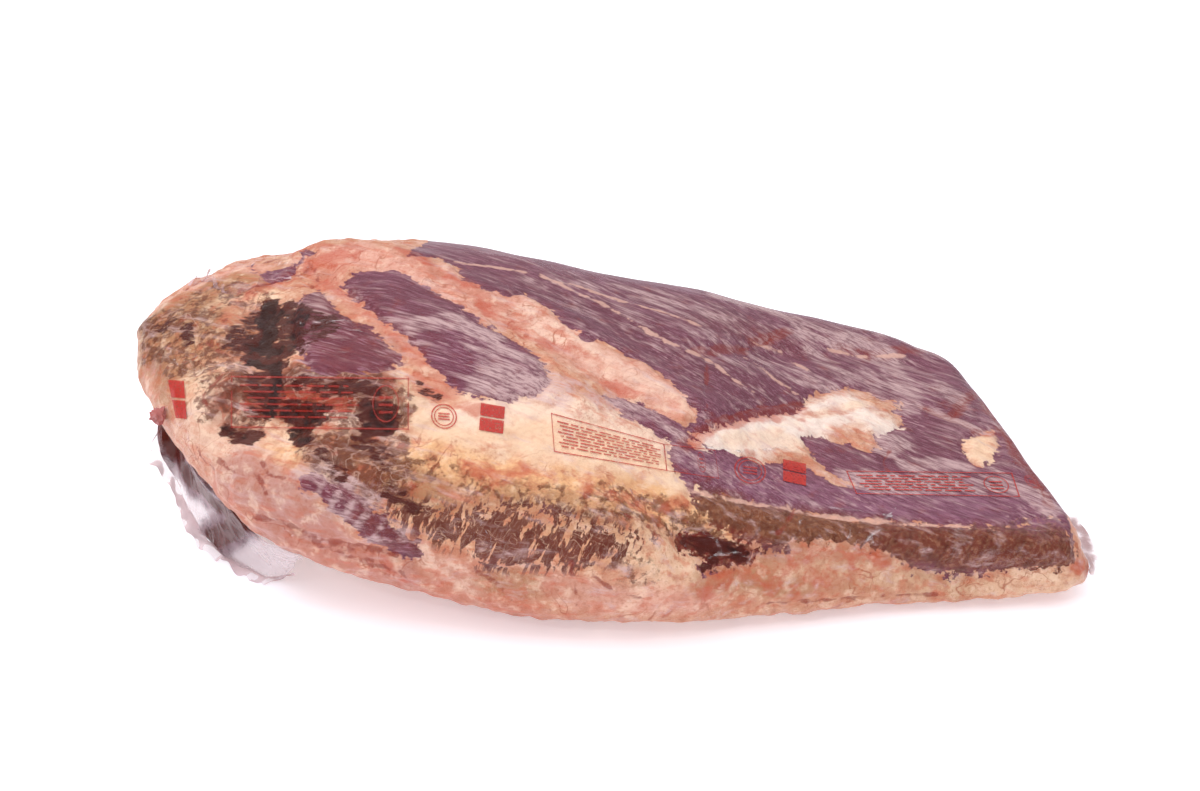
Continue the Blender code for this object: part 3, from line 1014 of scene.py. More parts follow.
def fat_colour(tree, place):
    """The fat's wash with soft lobes, fine grains and a network of thin veins; and the lobes."""
    lobes = noise_value(tree, place, 120, 5, 0.62)
    lively = between(tree, number(tree, "calm"), 0.2, 0.9, 1.0, 0.25)
    browned = between(tree, number(tree, "crust"), 0.1, 0.4)
    flush = blend(tree, browned, linear(202, 108, 80), linear(142, 92, 62))
    drawn = between(tree, streaks(tree, place, FIBRE_TURN, 55, 260), 0.5, 0.36, 0.0, 0.5)
    colour = blend(tree, times(tree, drawn, lively), colour_of(tree, "fat_wash"), flush)
    light = between(tree, lobes, 0.5, 0.66)
    colour = blend(tree, light, colour, linear(250, 222, 196), 0.4)
    shade = between(tree, lobes, 0.5, 0.34, 0.0, 0.5)
    colour = blend(tree, times(tree, shade, lively), colour, linear(180, 104, 76))
    grains = between(tree, noise_value(tree, place, 600, 4, 0.7), 0.48, 0.36, 0.0, 0.4)
    colour = blend(tree, times(tree, grains, lively), colour, linear(168, 92, 68))
    there = between(tree, noise_value(tree, place, 30, 4), 0.46, 0.6, 0.0, 0.75)
    veins = times(tree, curls(tree, place, 44, 0.018), there)
    return blend(tree, times(tree, veins, lively), colour, linear(166, 84, 56)), lobes


def crust_layer(tree, place, colour, crumbs):
    """Brown crust in crumbs, with dark cracks round it and pale strands over it."""
    crusted = number(tree, "crust")
    crust = ragged(tree, minus(tree, crusted, 0.5), crumbs, 3.2, 0.2)
    crust = times(tree, crust, between(tree, crusted, 0.05, 0.3))
    colour = blend(tree, crust, colour, linear(98, 50, 36), 0.75)
    cracks = times(tree, curls(tree, place, 55, 0.045), between(tree, crusted, 0.2, 0.5))
    colour = blend(tree, cracks, colour, linear(92, 44, 30), 0.5)
    strands = times(tree, curls(tree, place, 70, 0.03), between(tree, crusted, 0.5, 0.66))
    return blend(tree, strands, colour, linear(200, 160, 142), 0.55)


# %% Muscle
def muscle_colour(tree, place, coarse, fine):
    """The muscle's wash with darker bundles and thin pale fibres."""
    patches = between(tree, noise_value(tree, place, 45, 4), 0.45, 0.62)
    colour = blend(tree, patches, colour_of(tree, "lean_wash"), linear(104, 52, 66), 0.4)
    colour = blend(tree, between(tree, coarse, 0.5, 0.38), colour, linear(92, 44, 58), 0.3)
    colour = blend(tree, between(tree, fine, 0.5, 0.36), colour, linear(88, 42, 56), 0.5)
    colour = blend(tree, between(tree, fine, 0.53, 0.68), colour, linear(170, 124, 140), 0.5)
    threads = between(tree, streaks(tree, place, FIBRE_TURN, 16, 760), 0.58, 0.65)
    threads = times(tree, threads, between(tree, noise_value(tree, place, 22, 3), 0.46, 0.58))
    return blend(tree, threads, colour, linear(206, 166, 170), 0.5)


def cut_colour(tree, place):
    """Muscle bared by the knife: mottled brown with a dark upright grain."""
    mottle = between(tree, noise_value(tree, place, 430, 4, 0.68), 0.46, 0.6)
    colour = blend(tree, mottle, colour_of(tree, "lean_wash"), linear(186, 136, 106), 0.3)
    dark = between(tree, noise_value(tree, place, 150, 5, 0.62), 0.52, 0.42)
    colour = blend(tree, dark, colour, linear(70, 34, 26), 0.35)
    grain = between(tree, streaks(tree, place, (0, 62, 0), 90, 460), 0.5, 0.36)
    return blend(tree, grain, colour, linear(80, 42, 32), 0.5)


def marbled_colour(tree, place):
    """Browned muscle in grey and dark red patches, with pale threads of fat."""
    patches = between(tree, noise_value(tree, place, 120, 5, 0.62), 0.42, 0.58)
    colour = blend(tree, patches, colour_of(tree, "lean_wash"), linear(96, 48, 38), 0.7)
    grain = between(tree, streaks(tree, place, (0, 66, 0), 160, 800), 0.5, 0.62)
    colour = blend(tree, grain, colour, linear(148, 106, 92), 0.5)
    return blend(tree, curls(tree, place, 110, 0.016), colour, linear(206, 164, 138), 0.6)


def lean_masks(tree, place, coarse):
    """Masks of the fibrous muscle, the marbled muscle and the cut edge."""
    blotches = noise_value(tree, place, 150, 5, 0.62)
    mixed = plus(tree, times(tree, coarse, 0.5), times(tree, blotches, 0.5))
    muscle = ragged(tree, number(tree, "muscle"), mixed, 24.0, 0.5)
    fingers = between(tree, streaks(tree, place, (0, 66, 0), 42, 230), 0.4, 0.6, 0.0, 0.5)
    thin = between(tree, streaks(tree, place, (0, 70, 0), 80, 520), 0.4, 0.62, 0.0, 0.5)
    marbled = ragged(tree, number(tree, "marbled"), plus(tree, fingers, thin), 46.0, 2.0)
    marbled = times(tree, marbled, between(tree, number(tree, "marbled"), -7.0, 0.0))
    cut = ragged(tree, number(tree, "cut"), noise_value(tree, place, 220, 5, 0.62), 22.0, 0.6)
    return muscle, marbled, cut


def lean_layer(tree, place, colour, coarse, fine):
    """The three kinds of muscle over the fat; and the mask of the fibrous kind."""
    muscle, marbled, cut = lean_masks(tree, place, coarse)
    lean_colour = muscle_colour(tree, place, coarse, fine)
    lean_colour = blend(tree, cut, lean_colour, cut_colour(tree, place))
    lean_colour = blend(tree, marbled, lean_colour, marbled_colour(tree, place))
    bared = larger(tree, larger(tree, muscle, marbled), cut)
    return blend(tree, bared, colour, lean_colour), muscle


# %% Layers over the muscle
def silver_layer(tree, place, colour, coarse, fine):
    """Torn sheets of silver skin, drawn out along the fibres."""
    sheets = times(tree, streaks(tree, place, FIBRE_TURN, 26, 170), 0.7)
    sheets = plus(tree, sheets, times(tree, coarse, 0.3))
    silver = ragged(tree, minus(tree, number(tree, "silver"), 0.5), sheets, 4.2, 0.5)
    torn = between(tree, fine, 0.36, 0.58, 0.25, 0.72)
    return blend(tree, times(tree, silver, torn), colour, linear(212, 180, 178))


def thin_lines(tree, place, colour):
    """Pale fat lines in the muscle, a painted highlight on the cut's top edge, and red creases."""
    waver = noise_value(tree, place, 130, 3)
    # The pale colour is fat on most lines, and painted highlight on the one along the cut's top
    # edge.
    gap = plus(tree, number(tree, "fat_and_highlight_line"), times(tree, waver, 9.0))
    colour = blend(tree, between(tree, gap, 6.5, 5.1), colour, linear(218, 172, 156), 0.75)
    gap = plus(tree, number(tree, "red_line"), times(tree, waver, 6.0))
    return blend(tree, between(tree, gap, 4.4, 3.2), colour, linear(134, 50, 42), 0.65)


def blood_layer(tree, place, colour):
    """Clotted blood in soft folds, nearly black where thick, under pale painted sheen; and its
    mask.
    """
    folds = streaks(tree, place, (0, 0, 8), 120, 330)
    blood = number(tree, "blood")
    mask = ragged(tree, minus(tree, blood, 0.5), folds, 1.8, 0.14)
    mask = times(tree, mask, between(tree, blood, 0.05, 0.25))
    lumps = noise_value(tree, place, 190, 4)
    thick = ragged(tree, minus(tree, blood, 0.86), lumps, 1.6, 0.14)
    clotted = blend(tree, thick, linear(76, 28, 22), linear(42, 8, 8))
    # Pale wisps over the clot are painted sheen: the film's glints on the clot's folds.
    painted_sheen = larger(tree, between(tree, folds, 0.58, 0.68), curls(tree, place, 80, 0.016))
    painted_sheen = times(tree, painted_sheen, between(tree, noise_value(tree, place, 60), 0.42, 0.6))
    clotted = blend(tree, painted_sheen, clotted, linear(150, 110, 108), 0.12)
    return blend(tree, mask, colour, clotted, 0.96), mask


def meat_material():
    """The finish of the whole of the meat."""
    material, tree, shader = new_material("raw_meat")
    place = object_place(tree)
    coarse = streaks(tree, place, FIBRE_TURN, 30, 300)
    fine = streaks(tree, place, FIBRE_TURN, 60, 820)
    crumbs = noise_value(tree, place, 230, 4, 0.62)
    colour, lobes = fat_colour(tree, place)
    colour = crust_layer(tree, place, colour, crumbs)
    soak = noise_value(tree, place, 110, 4, 0.6)
    stain = ragged(tree, minus(tree, number(tree, "stain"), 0.5), soak, 2.8, 0.4)
    colour = blend(tree, stain, colour, linear(188, 84, 62), 0.62)
    colour, muscle = lean_layer(tree, place, colour, coarse, fine)
    colour = blend(tree, times(tree, stain, muscle), colour, linear(134, 52, 42), 0.6)
    colour = silver_layer(tree, place, colour, coarse, fine)
    colour = thin_lines(tree, place, colour)
    colour, blood = blood_layer(tree, place, colour)
    wet = minus(tree, 0.5, times(tree, blood, 0.2))
    grain = plus(tree, plus(tree, times(tree, fine, 0.35), lobes), times(tree, crumbs, 0.5))
    bumped(tree, shader, grain, MEAT_BUMP)
    feed(tree, shader, {"Base Color": colour, "Roughness": wet, "Specular IOR Level": 0.12})
    return material


meat.data.materials.clear()
meat.data.materials.append(meat_material())
print("the meat's material has", len(meat.data.materials[0].node_tree.nodes), "nodes")

# %% [markdown]
# ## The film round the meat
#
# The clear bag was drawn tight by a vacuum, so it lies on the meat everywhere and bridges only
# its narrow hollows. It is a second skin: a coarser copy of the meat, smoothed more, then pushed
# out wherever it comes closer than a third of a millimetre. Solidify would make two walls that
# can't be told apart here, so one skin stands for the film.

# %% Film skin
FILM_SQUARE = 2.3 * MM
FILM_SMOOTHINGS = 5
FILM_GAP = 0.35
FILM_LOWEST = 0.1


def pushed_out(points, surface, gap):
    """The points, with those nearer to the surface than the gap moved out from it."""
    cleared = points.copy()
    for i, point in enumerate(points):
        spot, normal, _, _ = surface.find_nearest(Vector(point) * MM)
        if (Vector(point) - spot / MM).dot(normal) < gap:
            cleared[i] = spot / MM + normal * gap
    return cleared


meat_copy = bmesh.new()
meat_copy.from_mesh(meat.data)
film = smoothed(remeshed(new_piece("bag_film", meat_copy), FILM_SQUARE), FILM_SMOOTHINGS)
film_places = pushed_out(vertex_array(film.data), surface_of(meat), FILM_GAP)
print("the film has", len(film.data.vertices), "vertices")

# %% Folds in the film
FOLDS = (
    ((257, 312), (264, 307), (273, 308)),
    ((284, 317), (294, 320), (303, 325)),
    ((250, 338), (258, 342), (267, 345)),
    ((312, 324), (332, 321), (356, 324)),
    ((810, 506), (847, 510), (880, 514), (923, 524)),
    ((798, 534), (800, 522), (808, 513)),
    ((862, 548), (868, 538), (880, 530)),
    ((874, 544), (872, 534), (884, 520), (897, 508)),
    ((848, 540), (850, 530)),
    ((856, 546), (858, 532)),
    ((640, 500), (664, 522), (690, 550)),
    ((688, 535), (700, 531), (716, 540), (722, 552), (708, 558)),
    ((720, 556), (736, 552), (752, 560)),
    ((308, 318), (324, 320), (346, 322), (360, 330)),
    ((320, 322), (344, 330), (374, 334)),
    ((300, 344), (322, 352), (350, 354)),
    ((326, 296), (340, 316), (360, 330)),
    ((300, 330), (320, 336), (345, 342)),
    ((707, 287), (708, 346)),
    ((690, 494), (740, 500), (760, 506)),
    ((890, 524), (960, 530), (1050, 532)),
    ((244, 268), (262, 262), (282, 264), (310, 268)),
    ((200, 288), (230, 276), (262, 270), (290, 262)),
    ((236, 284), (262, 280), (290, 270)),
    ((700, 446), (740, 452), (790, 448)),
    ((430, 330), (470, 352), (500, 380)),
    ((596, 430), (640, 455), (680, 462)),
    ((1004, 404), (1030, 446), (1060, 500)),
    ((170, 350), (182, 372), (190, 396)),
    ((240, 500), (276, 520), (300, 540)),
    ((330, 566), (352, 580), (380, 588)),
    ((480, 520), (492, 540), (488, 560)),
    ((560, 500), (575, 520), (572, 548)),
)
CRUMPLED = (
    (0.9, 14, ((200, 285), (230, 272), (262, 266), (300, 262))),
    (0.3, 16, ((262, 320), (262, 350), (270, 380), (268, 410))),
    (0.4, 16, ((310, 330), (350, 345))),
    (0.7, 14, ((660, 525), (700, 545), (740, 556))),
    (0.4, 8, ((800, 524), (850, 535), (890, 530))),
    (0.5, 14, ((300, 440), (340, 460), (380, 480))),
    (0.5, 16, ((150, 330), (165, 360), (175, 400))),
    (0.4, 20, ((960, 400), (1000, 440), (1040, 490))),
)

FOLD = (0.7, 1.5)
CRUMPLE_RISE = (0.5, 5)

fold = nearest_line(FOLDS, film_places)
crumple = field(CRUMPLED, film_places, 0.5 * noise_at(film_places, 13))
rise = ridge(fold, *FOLD)
rise += crumple * CRUMPLE_RISE[0] * np.abs(noise_at(film_places, CRUMPLE_RISE[1]))
film_places = film_places + vertex_normals(film.data) * rise[:, None]
film_places[:, 2] = np.maximum(film_places[:, 2], FILM_LOWEST)
move_vertices(film, film_places)
keep_number(film, "fold", fold)
keep_number(film, "crumple", crumple)
print("folds near", int((fold < FOLD[1]).sum()), "vertices of the film")

# %% [markdown]
# ## The film's finish
#
# Film this thin shows almost only by its reflections. So the material mixes a mirror into clear
# nothing: a little more at a low angle, held down so that the meat keeps its colour, and most in
# the folds. The folds' share is broken up by streaks, because a real fold glints in short runs.

# %% Film material
FILM_HAZE = 0.004
MOST_SHINE = 0.07
FILM_BUMP = 1.1 * MM


def see_through(tree, shader, share):
    """Let the shader cover only a share of what lies behind it."""
    clear = add(tree, "ShaderNodeBsdfTransparent")
    mix = add(tree, "ShaderNodeMixShader", {0: share, 1: clear.outputs[0], 2: shader.outputs[0]})
    feed(tree, tree.nodes["Material Output"], {"Surface": mix.outputs[0]})


def film_material():
    """Clear film: a mirror at a low angle, nearly nothing from straight above, with folds."""
    material, tree, shader = new_material("clear_film")
    place = object_place(tree)
    fold = between(tree, number(tree, "fold"), 1.2, 0.0)
    creases = streaks(tree, place, (0, 0, 30), 45, 210)
    crinkle = noise_value(tree, place, 260, 4, 0.6)
    loose = plus(tree, times(tree, number(tree, "crumple"), 1.6), 0.22)
    height = plus(tree, times(tree, plus(tree, creases, crinkle), loose), fold)
    normal = bumped(tree, shader, height, FILM_BUMP)
    feed(tree, shader, {"Base Color": (0.93, 0.92, 0.93, 1), "Metallic": 1.0, "Roughness": 0.06})
    edge = add(tree, "ShaderNodeFresnel", {"IOR": 1.45, "Normal": normal}).outputs[0]
    share = larger(tree, minus(tree, times(tree, edge, 0.6), 0.016), FILM_HAZE)
    share = smaller(tree, share, MOST_SHINE)
    broken = between(tree, creases, 0.42, 0.58, 0.08, 0.5)
    see_through(tree, shader, plus(tree, share, times(tree, fold, broken)))
    return material


film.data.materials.append(film_material())
print("the film's material has", len(film.data.materials[0].node_tree.nodes), "nodes")

# %% [markdown]
# ## The print on the bag
#
# The bag is printed with red fields and rules. Only plain shapes stand here: solid blocks, rings
# and framed panels with bars. Each is drawn flat from bmesh shapes on a unit square, cut fine,
# and every vertex is carried to the film by the ray through its pixel, so the print follows the
# film's bumps as real ink does.

# %% Print shapes
INK_GAP = 0.18
film_surface = surface_of(film)


def bar(bm, low_x, low_y, high_x, high_y, pieces=12):
    """A filled rectangle on the unit square, cut into a strip of faces."""
    made = bmesh.ops.create_grid(bm, x_segments=pieces, y_segments=3, size=0.5)
    bmesh.ops.scale(bm, vec=(high_x - low_x, high_y - low_y, 1), verts=made["verts"])
    middle = ((low_x + high_x) / 2, (low_y + high_y) / 2, 0)
    bmesh.ops.translate(bm, vec=middle, verts=made["verts"])


def frame_of_bars(bm, low_x, low_y, high_x, high_y, wide, tall):
    """Four thin bars round a rectangle."""
    bar(bm, low_x, low_y, high_x, low_y + tall, 40)
    bar(bm, low_x, high_y - tall, high_x, high_y, 40)
    bar(bm, low_x, low_y, low_x + wide, high_y, 3)
    bar(bm, high_x - wide, low_y, high_x, high_y, 3)


def ring(bm, x, y, radius_x, radius_y, width):
    """A round or oval outline."""
    loops = []
    for share in (1, 1 - width):
        made = bmesh.ops.create_circle(bm, cap_ends=False, segments=40, radius=1)
        bmesh.ops.scale(bm, vec=(radius_x * share, radius_y * share, 1), verts=made["verts"])
        bmesh.ops.translate(bm, vec=(x, y, 0), verts=made["verts"])
        loops += list({edge for vert in made["verts"] for edge in vert.link_edges})
    bmesh.ops.bridge_loops(bm, edges=loops)


def onto_film(bm, corners):
    """Carry a shape on the unit square to the film, by the pixels of the square's corners."""
    a, b, c, d = (Vector(corner) for corner in corners)
    for vert in bm.verts:
        x, y = vert.co.x, vert.co.y
        pixel = a * (1 - x) * (1 - y) + b * x * (1 - y) + c * x * y + d * (1 - x) * y
        toward = ray_through(*pixel)
        spot, normal, _, _ = film_surface.ray_cast(CAMERA_PLACE, toward)
        if spot is None:
            spot, normal, _, _ = film_surface.find_nearest(CAMERA_PLACE + toward * TO_MEAT)
        vert.co = spot + normal * INK_GAP * MM


def block(bm):
    """A solid field of ink in two parts."""
    bar(bm, 0, 0, 1, 0.46)
    bar(bm, 0, 0.52, 1, 1)


def seal(bm):
    """A double ring with three bars in it."""
    ring(bm, 0.5, 0.5, 0.5, 0.5, 0.1)
    ring(bm, 0.5, 0.5, 0.38, 0.38, 0.1)
    for row in (0.36, 0.47, 0.58):
        bar(bm, 0.28, row, 0.72, row + 0.06, 6)


def panel(bm, rows, bars_to, ring_at, thick=0.3):
    """A framed panel with rows of short bars, and a ring towards one end."""
    frame_of_bars(bm, 0, 0, 1, 1, 0.007, 0.03)
    for i in range(rows):
        y = 0.16 + 0.72 * i / rows
        x = 0.05 + 0.02 * (i % 3)
        while x < bars_to - 0.05:
            length = 0.03 + 0.035 * ((i * 7 + int(x * 40)) % 5)
            bar(bm, x, y, min(x + length, bars_to), y + thick / rows, 4)
            x += length + 0.02
    if ring_at:
        ring(bm, ring_at, 0.5, 0.075, 0.36, 0.08)
        for row in (0.36, 0.5, 0.64):
            bar(bm, ring_at - 0.04, row, ring_at + 0.04, row + 0.05, 4)


print("shapes of the print:", [shape.__name__ for shape in (block, seal, panel)])

# %% Print placed on the film
PRINTS = (
    (1.0, block, (), ((168, 380), (184, 381), (187, 419), (176, 418))),
    (0.6, panel, (6, 0.72, 0.87, 0.2), ((231, 376), (409, 378), (409, 430), (231, 428))),
    (0.9, seal, (), ((431, 403), (457, 405), (457, 430), (431, 428))),
    (1.0, block, (), ((481, 403), (505, 407), (503, 434), (479, 430))),
    (0.9, panel, (8, 0.96, 0), ((551, 413), (664, 444), (667, 471), (554, 452))),
    (0.7, panel, (1, 0.06, 0.7), ((664, 444), (715, 450), (719, 479), (667, 471))),
    (0.7, seal, (), ((734, 455), (766, 459), (766, 486), (734, 482))),
    (1.0, block, (), ((783, 459), (806, 464), (806, 486), (783, 481))),
    (1.0, panel, (6, 0.74, 0.88), ((846, 471), (1012, 473), (1020, 497), (856, 494))),
    (0.9, seal, (), ((1022, 474), (1036, 478), (1042, 490), (1028, 487))),
)


def bag_print():
    """All the printed shapes as one piece of thin ink, each as strong as it was printed."""
    whole = bmesh.new()
    strengths = []
    for strength, shape, values, corners in PRINTS:
        bm = bmesh.new()
        shape(bm, *values)
        onto_film(bm, corners)
        strengths += [strength] * len(bm.verts)
        part = bpy.data.meshes.new("part")
        bm.to_mesh(part)
        bm.free()
        whole.from_mesh(part)
        bpy.data.meshes.remove(part)
    piece = new_piece("bag_print", whole)
    keep_number(piece, "strength", strengths)
    return piece


def ink_material():
    """Red ink, thin enough to let some of the meat through, and worn where the film rubbed."""
    material, tree, shader = new_material("red_ink")
    rubbed = noise_value(tree, object_place(tree), 900, 3, 0.6)
    tone = blend(tree, rubbed, linear(168, 22, 16), linear(196, 46, 32))
    worn = between(tree, rubbed, 0.34, 0.5, 0.5, 0.9)
    worn = times(tree, worn, number(tree, "strength"))
    feed(tree, shader, {"Base Color": tone, "Roughness": 0.4, "Alpha": worn})
    return material


ink = bag_print()
ink.data.materials.append(ink_material())
print("the print has", len(ink.data.polygons), "faces")

# %% [markdown]
# ## The loose end and the seam of the bag
#
# Both are imported solids that only show where the film is. Each is taken as it is, merged, cut
# finer and crumpled by noise, which keeps it where the solid stands. Next to the meat the loose
# end holds dark juice between its folds. Further out its grey folds are layered film with painted
# shade, the shade under the thick end, and beyond them it is clear. So each vertex keeps its
# distance from the line along which the film leaves the meat.

# %% Loose film
CUTS = 3
LOOSE_LOWEST = 0.15
CRINKLE_BUMP = 4 * MM
TAIL_CRUMPLE = ((2.2, 26), (1.0, 9))
SEAM_CRUMPLE = ((0.7, 20), (0.5, 7))
TAIL_ROOT = (
    (166, 424), (172, 442), (180, 458), (190, 474), (204, 490), (220, 506), (240, 520), (262, 530),
)
SEAM_ROOT = ((1074, 562), (1082, 567), (1090, 570))


def crumpled(name, node, crumple, root):
    """A finer copy of a packed film, moved in folds by noise, which keeps its gap to a root."""
    bm = merged_copy(node)
    bmesh.ops.subdivide_edges(bm, edges=bm.edges, cuts=CUTS, use_grid_fill=True, smooth=0.2)
    bmesh.ops.recalc_face_normals(bm, faces=bm.faces)
    piece = new_piece(name, bm)
    places = vertex_array(piece.data)
    for height, width in crumple:
        for axis, shift in enumerate((10, 50, 90)):
            places[:, axis] += height * noise_at(places + shift, width)
    places[:, 2] = np.maximum(places[:, 2], LOOSE_LOWEST)
    move_vertices(piece, places)
    keep_number(piece, "gap", distance_along(places, on_meat(root, surface_of(piece))))
    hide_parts(node)
    return piece


def loose_film_material(name, tint, clear_tint, near, far, haze):
    """Film: juice up to the near distance, painted shade in grey folds to the far one, clear
    beyond.
    """
    material, tree, shader = new_material(name)
    place = object_place(tree)
    patches = minus(tree, noise_value(tree, place, 90, 4, 0.6), 0.5)
    reach = plus(tree, number(tree, "gap"), times(tree, patches, 14.0))
    juice = between(tree, reach, near + 2, near - 2)
    # The grey band is layered film with painted shade from the thick end above. The lit noise
    # paints lighter and darker folds in it.
    grey = between(tree, reach, far + 4, far - 4)
    lit = between(tree, noise_value(tree, place, 70, 3), 0.4, 0.6)
    painted_shade_folds = blend(tree, lit, linear(116, 82, 90), linear(160, 130, 138))
    colour = blend(tree, juice, blend(tree, grey, clear_tint, painted_shade_folds), tint)
    normal = bumped(tree, shader, noise_value(tree, place, 55, 2, 0.4), CRINKLE_BUMP)
    feed(tree, shader, {"Base Color": colour, "Roughness": 0.2, "Specular IOR Level": 0.3})
    edge = add(tree, "ShaderNodeFresnel", {"IOR": 1.5, "Normal": normal}).outputs[0]
    share = plus(tree, times(tree, juice, 0.45), haze)
    share = plus(tree, share, times(tree, grey, 0.5))
    glint = smaller(tree, times(tree, edge, 0.5), 2 * haze)
    see_through(tree, shader, plus(tree, share, glint))
    return material


tail = crumpled("loose_end", "bag_tail", TAIL_CRUMPLE, TAIL_ROOT)
juice_film = loose_film_material(
    "juice_film", linear(84, 34, 30), linear(240, 226, 232), near=7, far=13, haze=0.12
)
tail.data.materials.append(juice_film)
seam = crumpled("flat_seam", "bag_seam", SEAM_CRUMPLE, SEAM_ROOT)
seam_film = loose_film_material(
    "seam_film", linear(146, 56, 44), linear(246, 234, 238), near=4, far=-10, haze=0.02
)
seam.data.materials.append(seam_film)
print("the loose end has", len(tail.data.polygons), "faces, the seam", len(seam.data.polygons))

# %% [markdown]
# ## Ruffles at the edge of the bag
#
# Where the bag has film to spare it stands out in small clear ruffles, along the top of the thick
# end and round the loose end, with a twisted knot beside it. A ruffle is a flat grid whose near
# edge follows a path and whose far edge waves to and fro. The knot is a small ball, crushed.

# %% Ruffle
ASIDE = 0.02
RUFFLE_ROWS = 6
RUFFLE_LOWEST = 0.2
RUFFLE_REACH = 30


def along(path, share):
    """The place at a share of a path's steps."""
    at = share * (len(path) - 1)
    i = min(int(at), len(path) - 2)
    return path[i] + (path[i + 1] - path[i]) * (at - i)


def ruffle(name, path, outward, width, wave, cells):
    """A strip of film that stands out from a path and waves along its free edge."""
    bm = bmesh.new()
    bmesh.ops.create_grid(bm, x_segments=cells, y_segments=RUFFLE_ROWS, size=0.5)
    out = Vector(outward).normalized()
    for vert in bm.verts:
        share, height = vert.co.x + 0.5, vert.co.y + 0.5
        base = Vector(along(path, share))
        before = Vector(along(path, max(share - ASIDE, 0)))
        after = Vector(along(path, min(share + ASIDE, 1)))
        side = out.cross(after - before).normalized()
        uneven = 0.8 + 0.5 * noise.noise(Vector((share * 9, 0, width)))
        uneven *= min(1, 6 * share, 6 * (1 - share))
        swing = wave * height * noise.noise(base / 8 + Vector((0, 0, height * 0.8)))
        pull = 0.5 * wave * height * noise.noise(base / 6 + Vector((7, 0, 0)))
        place = base + out * (width * height * uneven + pull) + side * swing * 1.6
        place.z = max(RUFFLE_LOWEST, place.z)
        vert.co = place * MM
    bmesh.ops.recalc_face_normals(bm, faces=bm.faces)
    piece = new_piece(name, bm)
    keep_number(piece, "gap", np.full(len(piece.data.vertices), RUFFLE_REACH))
    return piece


# %% Knot
KNOT_REACH = 8


def crushed_knot(name, place, radius):
    """A small ball of film, crushed by noise."""
    bm = bmesh.new()
    bmesh.ops.create_icosphere(bm, subdivisions=4, radius=radius)
    for vert in bm.verts:
        crush = noise.noise(vert.co / 2.2) + 0.6 * noise.noise(vert.co / 1.1)
        vert.co = (Vector(place) + vert.co * (1 + 0.55 * crush)) * MM
    piece = new_piece(name, bm)
    keep_number(piece, "gap", np.full(len(piece.data.vertices), KNOT_REACH))
    return piece


# %% Ruffles and knot in place
TOP_RUFFLE = on_meat(((184, 290), (200, 281), (221, 268), (244, 258), (262, 254), (284, 250)))
TAIL_SKIRT = np.array((
    (-246, 24, 54), (-243, 6, 40), (-230, -16, 20), (-214, -40, 7), (-196, -54, 3),
    (-180, -69, 2), (-170, -70, 3), (-164, -78, 10),
), float)
top_ruffle = ruffle("top_ruffle", TOP_RUFFLE, (-0.35, -0.05, 1), width=6.5, wave=6, cells=110)
tail_skirt = ruffle("tail_skirt", TAIL_SKIRT, (-0.75, -0.6, -0.1), width=9, wave=4, cells=170)
knot = crushed_knot("knot", on_meat(((166, 412),))[0] + (-3.5, -1.5, -1), radius=4)
ruffle_film = loose_film_material(
    "ruffle_film", linear(190, 110, 106), linear(220, 190, 196), near=9, far=-10, haze=0.26
)
for piece in (top_ruffle, tail_skirt, knot):
    piece.data.materials.append(ruffle_film)
print("the ruffles have", len(top_ruffle.data.polygons) + len(tail_skirt.data.polygons), "faces")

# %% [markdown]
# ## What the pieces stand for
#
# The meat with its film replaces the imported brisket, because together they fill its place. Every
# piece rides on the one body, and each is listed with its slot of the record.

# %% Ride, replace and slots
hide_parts("brisket")
for piece, slot in (
    (meat, "meat"),
    (film, "bag_film"),
    (tail, "bag_film"),
    (seam, "bag_film"),
    (top_ruffle, "bag_film"),
    (tail_skirt, "bag_film"),
    (knot, "bag_film"),
    (ink, "bag_print"),
):
    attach(piece, "root")

# %% [markdown]
# ## Floor and light
#
# The photograph is a plain studio shot on white. A pale floor runs off to a white world, which is
# brightest overhead. One large soft lamp hangs above the thick end and a little behind, so the
# shadow is faint and falls to the right and towards the camera. It is kept out of the film's
# reflections, where it would show as a grey sheet. Two small lamps in front give the glints.

# %% Floor
FLOOR_SIZE = 12
FLOOR_DROP = 0.2 * MM
FLOOR_GLOW = 0.38


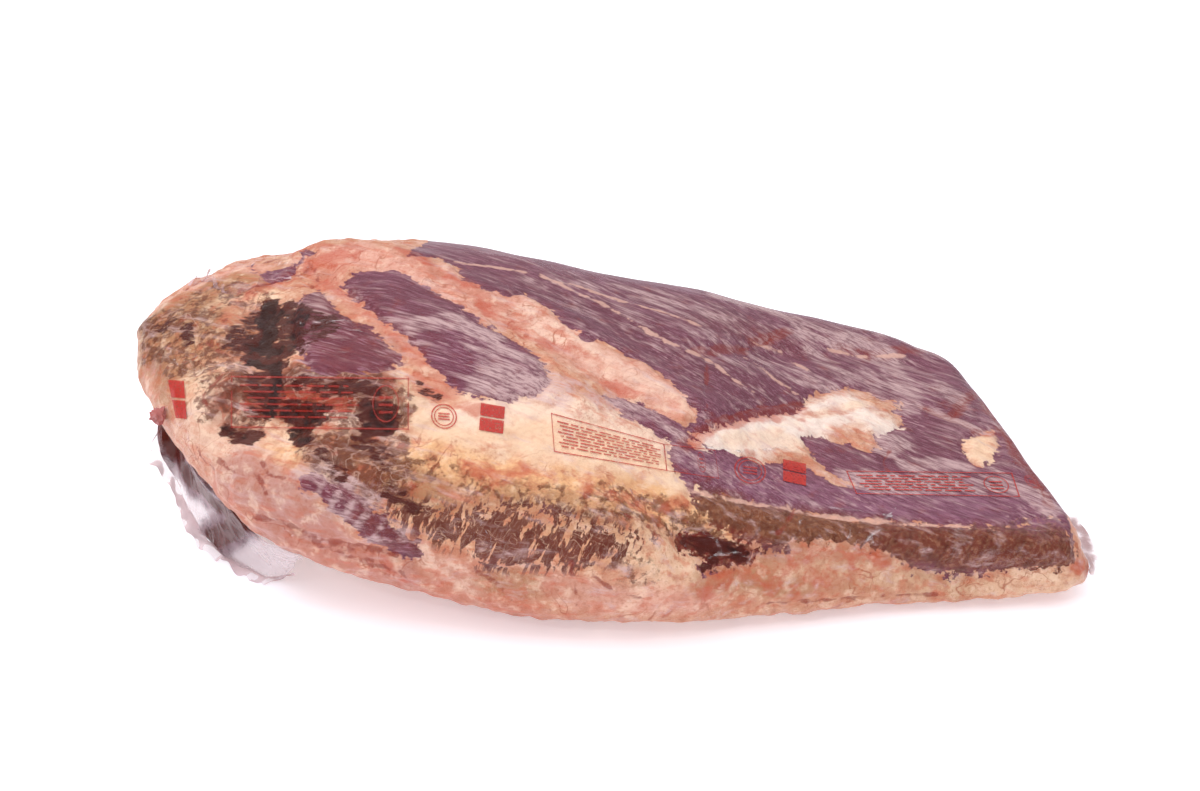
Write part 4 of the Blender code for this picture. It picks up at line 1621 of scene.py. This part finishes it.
def white_floor():
    """A wide pale table, lit a little from within, just under the object."""
    bm = bmesh.new()
    bmesh.ops.create_grid(bm, x_segments=1, y_segments=1, size=FLOOR_SIZE / 2)
    bmesh.ops.translate(bm, vec=(0, 0, -FLOOR_DROP), verts=bm.verts)
    floor = new_piece("floor", bm)
    material, tree, shader = new_material("white_paper")
    feed(tree, shader, {"Base Color": (0.9, 0.925, 0.98, 1), "Roughness": 0.9})
    feed(tree, shader, {"Specular IOR Level": 0.1})
    feed(tree, shader, {"Emission Color": (0.94, 0.94, 1.0, 1), "Emission Strength": FLOOR_GLOW})
    floor.data.materials.append(material)


white_floor()
print("the floor is", FLOOR_SIZE, "metres wide")

# %% Lamps
LAMPS = (
    ("top_lamp", (-1.3, 0.5, 1.3), (-15, -45, 0), 1.2, 10, False),
    ("front_lamp", (-0.9, -1.3, 1.3), (45, -28, 0), 0.06, 3, True),
    ("side_lamp", (0.5, -0.9, 1.6), (28, 17, 0), 0.06, 1.5, True),
)


def soft_lamp(name, place, turn, size, power, glints):
    """A square lamp, the softer the larger, that shows in reflections only if it glints."""
    lamp = bpy.data.lights.new(name, "AREA")
    lamp.shape = "SQUARE"
    lamp.size = size
    lamp.energy = power
    holder = bpy.data.objects.new(name, lamp)
    holder.location = place
    holder.rotation_euler = [radians(angle) for angle in turn]
    holder.visible_glossy = glints
    bpy.context.scene.collection.objects.link(holder)


for lamp in LAMPS:
    soft_lamp(*lamp)
print("lamps:", [name for name, *_ in LAMPS])

# %% World
SKY_LOW = 0.35
SKY_HIGH = 1.4


def studio_world():
    """A white room, brighter overhead than at the walls."""
    world = bpy.data.worlds.new("studio")
    world.use_nodes = True
    tree = world.node_tree
    direction = add(tree, "ShaderNodeTexCoord").outputs["Generated"]
    height = add(tree, "ShaderNodeSeparateXYZ", {"Vector": direction}).outputs["Z"]
    strength = between(tree, height, 0.3, 0.85, SKY_LOW, SKY_HIGH)
    inputs = {"Strength": strength, "Color": (1.0, 0.985, 0.995, 1)}
    feed(tree, tree.nodes["Background"], inputs)
    bpy.context.scene.world = world


studio_world()
bpy.context.scene.view_settings.view_transform = "Standard"
print("the world is the", bpy.context.scene.world.name)
